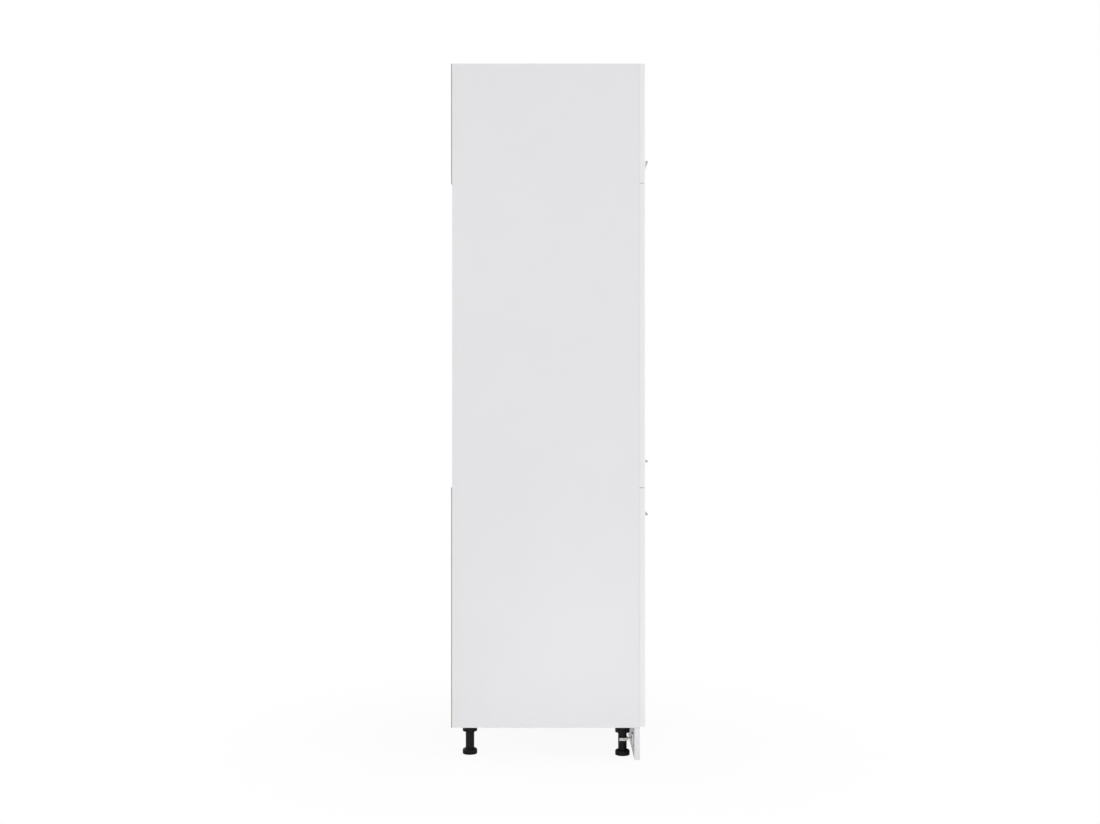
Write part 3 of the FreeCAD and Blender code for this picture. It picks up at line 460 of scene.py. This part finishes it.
@cache
def cast_zinc():
    """Dull die-cast metal with a sandy skin."""
    colours = bpy.context.scene.cabinet_colours
    finish = Finish("cast_fitting")
    sand = finish.noise(1800.0, detail=3.0)
    flow = finish.noise(240.0, detail=3.0)
    return finish.shade({
        "Base Color": finish.mix(flow, tint(colours.zinc, 0.66), tint(colours.zinc, 0.9)),
        "Metallic": 1.0,
        "Roughness": 0.42 + sand * 0.14,
        "Normal": finish.bump(sand, deep=0.00003),
    })


@cache
def black_plastic():
    """Moulded black plastic with a fine spark texture and paler scuffs."""
    colours = bpy.context.scene.cabinet_colours
    finish = Finish("black_plastic")
    spark = finish.noise(1500.0, detail=3.0)
    scuff = finish.noise((130.0, 130.0, 60.0), detail=5.0)
    return finish.shade({
        "Base Color": finish.ramp(scuff, [(0.45, colours.black), (0.75, tint(colours.black, 1.9))]),
        "Roughness": 0.4 + spark * 0.14 + scuff * 0.08,
        "Normal": finish.bump(spark, deep=0.00005),
        "Specular IOR Level": 0.14,
    })


@cache
def natural_plastic():
    """Milky moulded plastic that lets a little light in."""
    colours = bpy.context.scene.cabinet_colours
    finish = Finish("natural_plastic")
    flow = finish.noise((90.0, 90.0, 220.0), detail=3.0)
    grain = finish.noise(1300.0)
    return finish.shade({
        "Base Color": finish.mix(flow, tint(colours.natural, 0.92), tint(colours.natural, 1.05)),
        "Roughness": 0.36 + grain * 0.12,
        "Normal": finish.bump(grain, deep=0.00003),
        "Subsurface Weight": 0.25,
        "Subsurface Scale": 0.002,
    })


@cache
def beech():
    """Fluted beech with short dark flecks along the grain."""
    colours = bpy.context.scene.cabinet_colours
    finish = Finish("beech")
    grain = finish.noise((90.0, 1400.0, 1400.0), detail=4.0)
    fleck = finish.chips((320.0, 2200.0, 2200.0))
    shade = grain * 0.7 + fleck * 0.3
    stops = [(0.25, tint(colours.beech, 0.6)), (0.7, tint(colours.beech, 1.12))]
    return finish.shade({
        "Base Color": finish.ramp(shade, stops),
        "Roughness": 0.62 + grain * 0.14,
        "Normal": finish.bump(grain, deep=0.00008),
    })


@cache
def clear_buffer():
    """Clear soft plastic with a faint bloom."""
    colours = bpy.context.scene.cabinet_colours
    finish = Finish("clear_buffer")
    bloom = finish.noise(500.0)
    return finish.shade({
        "Base Color": finish.mix(bloom, tint(colours.clear, 0.95), tint(colours.clear, 1.04)),
        "Roughness": 0.12 + bloom * 0.14,
        "Transmission Weight": 0.25,
        "IOR": 1.48,
    })


def dress(node, material):
    """Give a node of the frame a finish in each of its material slots."""
    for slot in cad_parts[node].material_slots:
        slot.material = material


def make_piece(name, bm, material, body, replaced=()):
    """Finish a bmesh as a piece that rides on a body."""
    mesh = bpy.data.meshes.new(name)
    for face in bm.faces:
        face.smooth = True
    bm.to_mesh(mesh)
    bm.free()
    mesh.set_sharp_from_angle(angle=SHARP_TURN)
    mesh.materials.append(material)
    piece = bpy.data.objects.new(name, mesh)
    bpy.context.scene.collection.objects.link(piece)
    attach(piece, body)
    if replaced:
        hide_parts(*replaced)
    return piece


def merged_copy(node):
    """A copy of a node's mesh with its loose triangles joined."""
    bm = bmesh.new()
    bm.from_mesh(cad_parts[node].data)
    bmesh.ops.remove_doubles(bm, verts=bm.verts, dist=MERGE)
    return bm


def rounded(bm, edges, radius, segments):
    """Round some edges of a bmesh."""
    bmesh.ops.bevel(
        bm, geom=edges, offset=radius, offset_type="OFFSET", affect="EDGES", segments=segments,
        profile=0.5, material=-1, clamp_overlap=True,
    )


def plate_corners(bm, node, axis):
    """The short edges along an axis at the upper and lower ends of a node's plates."""
    ends = [corner.z for box in solid_boxes(node) for corner in box]
    limit = bpy.context.scene.cabinet_sizes.plate_limit
    corners = []
    for edge in bm.edges:
        first, second = (vert.co for vert in edge.verts)
        run = second - first
        along = abs(run[axis]) > 0.99 * run.length
        if along and run.length < limit and any(abs(first.z - end) < 10 * MERGE for end in ends):
            corners.append(edge)
    return corners


def softened(node, width, corner_axis=None):
    """A copy of a node with its hard edges rounded, and its plates' corners where an axis is given."""
    bm = merged_copy(node)
    bmesh.ops.dissolve_limit(bm, angle_limit=LEVEL_TURN, verts=bm.verts, edges=bm.edges)
    if corner_axis is not None:
        radius = bpy.context.scene.cabinet_sizes.plate_corner
        rounded(bm, plate_corners(bm, node, corner_axis), radius, segments=6)
    hard = [edge for edge in bm.edges if edge.is_manifold and edge.calc_face_angle() > HARD_TURN]
    rounded(bm, hard, width, segments=2)
    return bm


def soft_piece(name, node, width, material, body, corner_axis=None):
    """A softened copy that stands for its node, with level faces shaded flat."""
    piece = make_piece(name, softened(node, width, corner_axis), material, body, (node,))
    level = piece.modifiers.new("Level faces", "WEIGHTED_NORMAL")
    level.keep_sharp = True


def solid_boxes(node):
    """The lowest and highest corners of each solid of a node, in a fixed order."""
    bm = merged_copy(node)
    waiting, boxes = set(bm.verts), []
    while waiting:
        found, fresh = set(), [waiting.pop()]
        while fresh:
            vert = fresh.pop()
            found.add(vert)
            near = {edge.other_vert(vert) for edge in vert.link_edges} & waiting
            waiting -= near
            fresh += near
        places = [vert.co for vert in found]
        low = Vector([min(place[axis] for place in places) for axis in range(3)])
        high = Vector([max(place[axis] for place in places) for axis in range(3)])
        boxes.append((low, high))
    bm.free()
    return sorted(boxes, key=lambda ends: tuple(round(part, 5) for part in ends[0]))


def sized(shares, radius, tall):
    """A half profile from its shares of a radius and a height."""
    return [(out * radius, up * tall) for out, up in shares]


def turned(profile, segments):
    """A round solid about +Z from a half profile of radius and height."""
    bm = bmesh.new()
    verts = [bm.verts.new((radius, 0, height)) for radius, height in profile]
    edges = [bm.edges.new(pair) for pair in zip(verts, verts[1:])]
    bmesh.ops.spin(
        bm, geom=verts + edges, cent=(0, 0, 0), axis=(0, 0, 1), angle=tau, steps=segments, use_merge=True,
    )
    bmesh.ops.remove_doubles(bm, verts=bm.verts, dist=MERGE)
    bmesh.ops.recalc_face_normals(bm, faces=bm.faces)
    return bm


def copies(pattern, matrices):
    """One bmesh with a copy of a small one at each place."""
    mesh = bpy.data.meshes.new("pattern")
    pattern.to_mesh(mesh)
    pattern.free()
    whole = bmesh.new()
    for matrix in matrices:
        mesh.transform(matrix)
        whole.from_mesh(mesh)
        mesh.transform(matrix.inverted())
    bpy.data.meshes.remove(mesh)
    return whole


def foot_of(low, high):
    """The middle of the lower face of a box."""
    return ((low.x + high.x) / 2, (low.y + high.y) / 2, low.z)


def ring_edges(verts):
    """The edges that join the verts of a ring to each other."""
    ring = set(verts)
    return list({edge for vert in ring for edge in vert.link_edges if edge.other_vert(vert) in ring})


def cross_screw(radius, thick, long):
    """A pan-head screw with a cross recess: its crown at the origin and its shank down -Z."""
    bm = bmesh.new()
    reach, wing, ring_radius = radius * 0.6, radius * 0.13, radius * 0.74
    deep, drop, taper = 0.7 * thick, 0.1 * thick, 0.62
    grid = bmesh.ops.create_grid(bm, x_segments=3, y_segments=3, size=reach)
    # The inner lines of the grid, a third of the way out, move to the edges of the wings
    for vert in grid["verts"]:
        for axis in (0, 1):
            if abs(vert.co[axis]) < reach / 2:
                vert.co[axis] *= 3 * wing / reach
    corners = [
        face for face in bm.faces if min(abs(part) for part in face.calc_center_median()[:2]) > wing
    ]
    bmesh.ops.delete(bm, geom=corners, context="FACES")
    mouth, lid = [edge for edge in bm.edges if edge.is_boundary], bm.faces[:]
    sunk = bmesh.ops.extrude_face_region(bm, geom=lid)["geom"]
    bmesh.ops.delete(bm, geom=lid, context="FACES")
    sunk = [item for item in sunk if isinstance(item, bmesh.types.BMVert)]
    bmesh.ops.translate(bm, verts=sunk, vec=(0, 0, -deep))
    bmesh.ops.scale(bm, verts=sunk, vec=(taper, taper, 1))
    ring = bmesh.ops.create_circle(bm, segments=24, radius=ring_radius)["verts"]
    bmesh.ops.translate(bm, verts=ring, vec=(0, 0, -drop))
    bmesh.ops.bridge_loops(bm, edges=mouth + ring_edges(ring))
    for out, depth in sized(HEAD_RINGS, radius, thick) + sized(SHANK_RINGS, radius, long):
        grown = bmesh.ops.extrude_edge_only(bm, edges=ring_edges(ring))["geom"]
        ring = [item for item in grown if isinstance(item, bmesh.types.BMVert)]
        for vert in ring:
            place = Vector((vert.co.x, vert.co.y, 0)).normalized() * out
            vert.co = (place.x, place.y, -depth)
    bmesh.ops.edgeloop_fill(bm, edges=ring_edges(ring))
    bmesh.ops.recalc_face_normals(bm, faces=bm.faces)
    return bm


def screws(node, facing, thick):
    """Cross-recess screws where a node's screws are, each turned a little differently."""
    axis = "xyz".index(facing[1])
    sides = [index for index in range(3) if index != axis]
    boxes = solid_boxes(node)
    low, high = boxes[0]
    radius, long = (high - low)[sides[0]] / 2, (high - low)[axis]
    matrices = []
    for number, (low, high) in enumerate(boxes):
        crown = (low + high) / 2
        crown[axis] = high[axis] if facing[0] == "+" else low[axis]
        turn = Matrix.Rotation(radians(FIRST_SCREW + NEXT_SCREW * number), 4, "Z")
        matrices.append(Matrix.Translation(crown) @ FACING[facing] @ turn)
    return copies(cross_screw(radius, thick, long), matrices)


class CABINET_OT_boards(Operator):
    """Carcass boards and the loose shelf, with softened edges, front bands and raw chipboard"""
    bl_idname = "cabinet.boards"
    bl_label = "Boards"

    def execute(self, context):
        width = context.scene.cabinet_sizes.board_round
        for node, thin in BOARDS.items():
            material = board_finish(node, thin)
            soft_piece(f"{node}_board", node, width, material, "carcass")
        return {"FINISHED"}


class CABINET_OT_backs(Operator):
    """Hardboard backs and the nails round their edges"""
    bl_idname = "cabinet.backs"
    bl_label = "Back sheets"

    def execute(self, context):
        sizes = context.scene.cabinet_sizes
        for name in ("lower_back_sheet", "upper_back_sheet"):
            dress(name, back_finish(name))
            profile = sized(NAIL_SHARES, sizes.nail_radius, sizes.nail_rise)
            nails = copies(turned(profile, segments=16), self.places(name, sizes.nail_spacing))
            make_piece(f"{name}_nails", nails, zinc(), "carcass")
        return {"FINISHED"}

    def places(self, name, spacing):
        """Nails down both sides and along both ends, over the middle of the boards behind."""
        low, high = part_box(name)
        side_low, side_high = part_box("left_side_panel")
        inset = (side_low.x + side_high.x) / 2 - low.x
        end_inset = inset / 2
        left, right = low.x + inset, high.x - inset
        bottom, top = low.z + end_inset, high.z - end_inset
        places = []
        for start, end, other, along_x in (
            (left, right, bottom, True), (left, right, top, True),
            (bottom, top, left, False), (bottom, top, right, False),
        ):
            count = int((end - start) / spacing) + 1
            for step in range(count + 1 if along_x else count):
                run = start + (end - start) * step / count
                if along_x or step:
                    places.append((run, other) if along_x else (other, run))
        return [Matrix.Translation((x, high.y, z)) @ FACING["+y"] for x, z in places]


class CABINET_OT_doors(Operator):
    """Foil-wrapped doors and their soft clear buffers"""
    bl_idname = "cabinet.doors"
    bl_label = "Doors"

    def execute(self, context):
        for name in DOORS:
            dress(f"{name}_door_panel", door_finish(name))
            self.buffers(name)
        return {"FINISHED"}

    def buffers(self, name):
        """Domed self-adhesive buffers near the corners that meet the carcass."""
        node = f"{name}_door_buffers"
        boxes = solid_boxes(node)
        low, high = boxes[0]
        dome = sized(DOME_SHARES, (high - low).x / 2, (high - low).y)
        matrices = [
            Matrix.Translation(((low.x + high.x) / 2, low.y, (low.z + high.z) / 2)) @ FACING["+y"]
            for low, high in boxes
        ]
        domes = copies(turned(dome, segments=24), matrices)
        make_piece(f"{name}_door_domes", domes, clear_buffer(), f"{name}_door", (node,))


class CABINET_OT_handles(Operator):
    """Slim bar handles on two flared posts"""
    bl_idname = "cabinet.handles"
    bl_label = "Handles"

    def execute(self, context):
        sizes = context.scene.cabinet_sizes
        for name in DOORS:
            node = f"{name}_door_handle"
            low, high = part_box(node)
            bm = self.posts(low, high, sizes)
            self.bar(bm, low, high, sizes)
            make_piece(f"{name}_door_bar", bm, satin_nickel(), f"{name}_door", (node,))
        return {"FINISHED"}

    def bar(self, bm, low, high, sizes):
        """A bar with softly rounded edges and ends."""
        middle = (low + high) / 2
        middle.y = low.y + sizes.bar_deep / 2
        stretch = Matrix.Diagonal((high.x - low.x, sizes.bar_deep, sizes.bar_high, 1))
        made = bmesh.ops.create_cube(bm, size=1, matrix=Matrix.Translation(middle) @ stretch)
        edges = {edge for vert in made["verts"] for edge in vert.link_edges}
        rounded(bm, list(edges), sizes.bar_round, segments=4)

    def posts(self, low, high, sizes):
        """Posts that flare where they meet the door and the bar."""
        profile = sized(POST_SHARES, sizes.post_radius, high.y - low.y - sizes.bar_deep)
        middle = (low + high) / 2
        matrices = [
            Matrix.Translation((middle.x + way * sizes.post_spacing / 2, high.y, middle.z)) @ FACING["-y"]
            for way in (-1, 1)
        ]
        return copies(turned(profile, segments=28), matrices)


class CABINET_OT_hinges(Operator):
    """Concealed hinges in bright plated steel"""
    bl_idname = "cabinet.hinges"
    bl_label = "Hinges"

    def execute(self, context):
        sizes = context.scene.cabinet_sizes
        width, steel = sizes.fitting_round, plated_steel()
        soft_piece("mounting_plates", "hinge_plates", width, steel, "carcass", corner_axis=0)
        soft_piece("channel_arms", "hinge_arms", sizes.arm_round, steel, "carcass")
        dress("hinge_arm_pins", zinc())
        for name in DOORS:
            body = f"{name}_door"
            cups, links = f"{body}_hinge_cups", f"{body}_hinge_links"
            soft_piece(f"{body}_cups", cups, width, steel, body, corner_axis=1)
            soft_piece(f"{body}_bowed_links", links, width, steel, f"{body}_links")
            dress(f"{body}_cup_pins", zinc())
        return {"FINISHED"}


class CABINET_OT_screws(Operator):
    """Cross-recess screws of the hinges, handles, legs, brackets and plinth clips"""
    bl_idname = "cabinet.screws"
    bl_label = "Screws"

    def execute(self, context):
        sizes = context.scene.cabinet_sizes
        self.put("hinge_plate_screws", "-x", sizes.wood_head, "carcass")
        self.put("hinge_arm_screws", "-x", sizes.arm_head, "carcass")
        self.put("leg_screws", "-z", sizes.wood_head, "carcass")
        self.put("bracket_screws", "-z", sizes.wood_head, "carcass")
        self.put("plinth_clip_screws", "+y", sizes.wood_head, "plinth")
        for name in DOORS:
            self.put(f"{name}_door_cup_screws", "+y", sizes.wood_head, f"{name}_door")
            self.put(f"{name}_door_handle_screws", "+y", sizes.handle_head, f"{name}_door")
        return {"FINISHED"}

    def put(self, node, facing, thick, body):
        """Stand new screws where a node's are."""
        make_piece(f"{node}_cross", screws(node, facing, thick), zinc(), body, (node,))


class CABINET_OT_fittings(Operator):
    """Cams, bolts and dowels of the panel joints, shelf pins and wall brackets"""
    bl_idname = "cabinet.fittings"
    bl_label = "Fittings"

    def execute(self, context):
        width = context.scene.cabinet_sizes.fitting_round
        soft_piece("cam_drums", "cam_locks", width, cast_zinc(), "carcass")
        soft_piece("shelf_pegs", "shelf_pins", width, plated_steel(), "carcass")
        soft_piece("angle_brackets", "wall_brackets", width, zinc(), "carcass")
        dress("cam_bolts", zinc())
        dress("panel_dowels", beech())
        return {"FINISHED"}


class CABINET_OT_legs(Operator):
    """Black legs: sockets, tubes, and fluted feet on threaded stems"""
    bl_idname = "cabinet.legs"
    bl_label = "Legs"

    def execute(self, context):
        sizes = context.scene.cabinet_sizes
        black = black_plastic()
        soft_piece("leg_caps", "leg_sockets", sizes.fitting_round, black, "carcass")
        self.tubes(black)
        for name in FEET:
            self.pad(f"foot_{name}", sizes, black)
            self.stem(f"foot_{name}", sizes, black)
        return {"FINISHED"}

    def tubes(self, black):
        """Plain tubes with softened ends."""
        boxes = solid_boxes("leg_tubes")
        low, high = boxes[0]
        radius, tall = (high - low).x / 2, (high - low).z
        inner, soft = 0.84 * radius, 0.03 * radius
        profile = [
            (inner, 0), (radius - soft, 0), (radius, soft), (radius, tall - soft), (radius - soft, tall),
            (inner, tall), (inner, 0),
        ]
        tubes = copies(turned(profile, segments=48), [Matrix.Translation(foot_of(*box)) for box in boxes])
        make_piece("leg_stems", tubes, black, "carcass", ("leg_tubes",))

    def pad(self, node, sizes, black):
        """A round-shouldered foot with grip flutes and a recessed sole."""
        low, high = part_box(node)
        radius, tall = (high - low).x / 2, (high - low).z
        bm = turned(sized(PAD_SHARES, radius, tall), segments=2 * sizes.foot_flutes)
        bottom, top, upright = 0.3 * tall, 0.6 * tall, 0.01
        band = [
            face for face in bm.faces
            if bottom < face.calc_center_median().z < top and abs(face.normal.z) < upright
        ]
        band.sort(key=lambda face: face.calc_center_median().to_2d().angle_signed(Vector((1, 0))))
        rim, deep = 0.012 * radius, 0.03 * radius
        bmesh.ops.inset_individual(bm, faces=band[::2], thickness=rim, depth=-deep, use_even_offset=True)
        bmesh.ops.translate(bm, verts=bm.verts, vec=foot_of(low, high))
        make_piece(f"{node}_pad", bm, black, node, (node,))

    def stem(self, foot, sizes, black):
        """A coarse screw thread that runs up into the tube."""
        node = f"{foot}_stem"
        low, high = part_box(node)
        radius, tall, pitch = (high - low).x / 2, (high - low).z, sizes.thread_pitch
        root, steps = radius - sizes.thread_deep, 28
        turns = int(tall / pitch) - 1
        bm = bmesh.new()
        inner = root - 0.5 * sizes.thread_deep
        tooth = [(inner, 0.12), (root, 0.2), (radius, 0.45), (radius, 0.7), (root, 0.95), (inner, 0.98)]
        verts = [bm.verts.new((out, 0, share * pitch)) for out, share in tooth]
        edges = [bm.edges.new(pair) for pair in zip(verts, verts[1:] + verts[:1])]
        bmesh.ops.spin(
            bm, geom=verts + edges, cent=(0, 0, 0), axis=(0, 0, 1), dvec=(0, 0, pitch / steps),
            angle=tau * turns, steps=steps * turns, use_merge=False,
        )
        lead = sizes.thread_lead
        core = turned([(0, 0), (root, 0), (root, tall - lead), (root - lead, tall), (0, tall)], steps)
        mesh = bpy.data.meshes.new("core")
        core.to_mesh(mesh)
        core.free()
        bmesh.ops.edgeloop_fill(bm, edges=[edge for edge in bm.edges if edge.is_boundary])
        bmesh.ops.recalc_face_normals(bm, faces=bm.faces)
        bm.from_mesh(mesh)
        bpy.data.meshes.remove(mesh)
        bmesh.ops.translate(bm, verts=bm.verts, vec=foot_of(low, high))
        make_piece(f"{foot}_thread", bm, black, foot, (node,))


class CABINET_OT_plinth(Operator):
    """The plinth board and its natural plastic clips"""
    bl_idname = "cabinet.plinth"
    bl_label = "Plinth"

    def execute(self, context):
        sizes = context.scene.cabinet_sizes
        board = board_finish("plinth_board", thin=1, banded=(0, 2))
        soft_piece("plinth_face", "plinth_board", sizes.board_round, board, "plinth")
        for name, node in (("clip_bases", "plinth_clip_plates"), ("fork_clips", "plinth_clips")):
            soft_piece(name, node, sizes.fitting_round, natural_plastic(), "plinth")
        return {"FINISHED"}


def seen(maker):
    """One for rays from the camera and for those that metal and glass send on."""
    path = maker.add("ShaderNodeLightPath", output="Is Camera Ray")
    return path | path.output("Is Glossy Ray") | path.output("Is Transmission Ray")


class CABINET_OT_stage(Operator):
    """Plain pale floor, soft studio light and a level camera beside the cabinet"""
    bl_idname = "cabinet.stage"
    bl_label = "Stage"

    def execute(self, context):
        settings = context.scene.cabinet_stage
        context.scene.view_settings.view_transform = "Standard"
        self.floor(settings)
        self.room(context, settings)
        for name, (place, aim, size, power) in LAMPS.items():
            self.lamp(name, place, aim, size, power)
        self.camera(context, settings)
        return {"FINISHED"}

    def floor(self, settings):
        """A white floor that keeps the cabinet's soft shadow and fades into the room."""
        bm = bmesh.new()
        bmesh.ops.create_grid(bm, x_segments=1, y_segments=1, size=settings.floor_reach)
        bmesh.ops.translate(bm, verts=bm.verts, vec=(0, 0, -settings.floor_drop))
        mesh = bpy.data.meshes.new("floor")
        bm.to_mesh(mesh)
        bm.free()
        floor = bpy.data.objects.new("floor", mesh)
        bpy.context.scene.collection.objects.link(floor)
        mesh.materials.append(self.floor_finish(settings))

    def floor_finish(self, settings):
        """Matt white, with its own glow towards the camera away from the cabinet."""
        material = bpy.data.materials.new("pale_floor")
        material.use_nodes = True
        material.node_tree.nodes.clear()
        maker = NodeMaker(material.node_tree)
        place = maker.add("ShaderNodeTexCoord", output="Object")
        reach = maker.add("ShaderNodeVectorMath", {"operation": "LENGTH"}, {0: place}, output="Value")
        lift = maker.add("ShaderNodeMapRange", None, {
            "Value": reach, "From Min": settings.shadow_near, "From Max": settings.shadow_far,
            "To Min": settings.shadow_lift, "To Max": 1.0,
        })
        matt = maker.add("ShaderNodeBsdfDiffuse", None, {"Color": (settings.floor_grey,) * 3})
        glow = maker.add("ShaderNodeEmission", None, {"Color": (1.0, 1.0, 1.0), "Strength": 1.0})
        mixed = maker.add("ShaderNodeMixShader", None, {0: seen(maker) * lift, 1: matt, 2: glow})
        maker.add("ShaderNodeOutputMaterial", None, {"Surface": mixed})
        return material

    def room(self, context, settings):
        """An even room: white to the camera, and softer as light."""
        world = bpy.data.worlds.new("studio_room")
        context.scene.world = world
        world.use_nodes = True
        world.node_tree.nodes.clear()
        maker = NodeMaker(world.node_tree)
        strength = seen(maker) * (1.0 - settings.room_light) + settings.room_light
        room = maker.add("ShaderNodeBackground", None, {"Color": (1.0, 1.0, 1.0), "Strength": strength})
        maker.add("ShaderNodeOutputWorld", None, {"Surface": room})

    def lamp(self, name, place, aim, size, power):
        """A large soft lamp that isn't seen itself."""
        light = bpy.data.lights.new(name, "AREA")
        light.shape = "SQUARE"
        light.size = size
        light.energy = power
        lamp = bpy.data.objects.new(name, light)
        lamp.location = place
        lamp.rotation_euler = (Vector(aim) - Vector(place)).to_track_quat("-Z", "Y").to_euler()
        lamp.visible_camera = False
        bpy.context.scene.collection.objects.link(lamp)

    def camera(self, context, settings):
        """A level camera that looks square at the left side."""
        low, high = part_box("left_side_panel")
        lens = bpy.data.cameras.new("photo_camera")
        lens.sensor_fit = "HORIZONTAL"
        lens.angle = settings.view_angle
        camera = bpy.data.objects.new("photo_camera", lens)
        camera.location = (
            low.x - settings.camera_out, high.y - settings.camera_ahead, high.z - settings.camera_below
        )
        camera.rotation_euler = (radians(90), 0, radians(-90))
        context.scene.collection.objects.link(camera)
        context.scene.camera = camera


class CABINET_PT_panel(Panel):
    """Sidebar list of the cabinet's pieces"""
    bl_idname = "CABINET_PT_panel"
    bl_label = "Tall Housing Cabinet"
    bl_space_type = "VIEW_3D"
    bl_region_type = "UI"
    bl_category = "Cabinet"

    def draw(self, context):
        for operator in OPERATORS:
            self.layout.operator(operator.bl_idname)
        for group, cls in SETTINGS.items():
            box = self.layout.box()
            for name in cls.__annotations__:
                box.prop(getattr(context.scene, group), name)


OPERATORS = (
    CABINET_OT_boards, CABINET_OT_backs, CABINET_OT_doors, CABINET_OT_handles, CABINET_OT_hinges,
    CABINET_OT_screws, CABINET_OT_fittings, CABINET_OT_legs, CABINET_OT_plinth, CABINET_OT_stage,
)
SETTINGS = {
    "cabinet_sizes": CabinetSizes,
    "cabinet_colours": CabinetColours,
    "cabinet_stage": StageSettings,
}


def register():
    """Add the settings, the operators and the panel."""
    for cls in (*SETTINGS.values(), *OPERATORS, CABINET_PT_panel):
        bpy.utils.register_class(cls)
    for name, cls in SETTINGS.items():
        setattr(bpy.types.Scene, name, PointerProperty(type=cls))


def unregister():
    """Take them away again."""
    for name in SETTINGS:
        delattr(bpy.types.Scene, name)
    for cls in reversed((*SETTINGS.values(), *OPERATORS, CABINET_PT_panel)):
        bpy.utils.unregister_class(cls)


def main():
    """Make every piece in order."""
    register()
    bpy.ops.cabinet.boards()
    bpy.ops.cabinet.backs()
    bpy.ops.cabinet.doors()
    bpy.ops.cabinet.handles()
    bpy.ops.cabinet.hinges()
    bpy.ops.cabinet.screws()
    bpy.ops.cabinet.fittings()
    bpy.ops.cabinet.legs()
    bpy.ops.cabinet.plinth()
    bpy.ops.cabinet.stage()


if __name__ == "__main__":
    main()
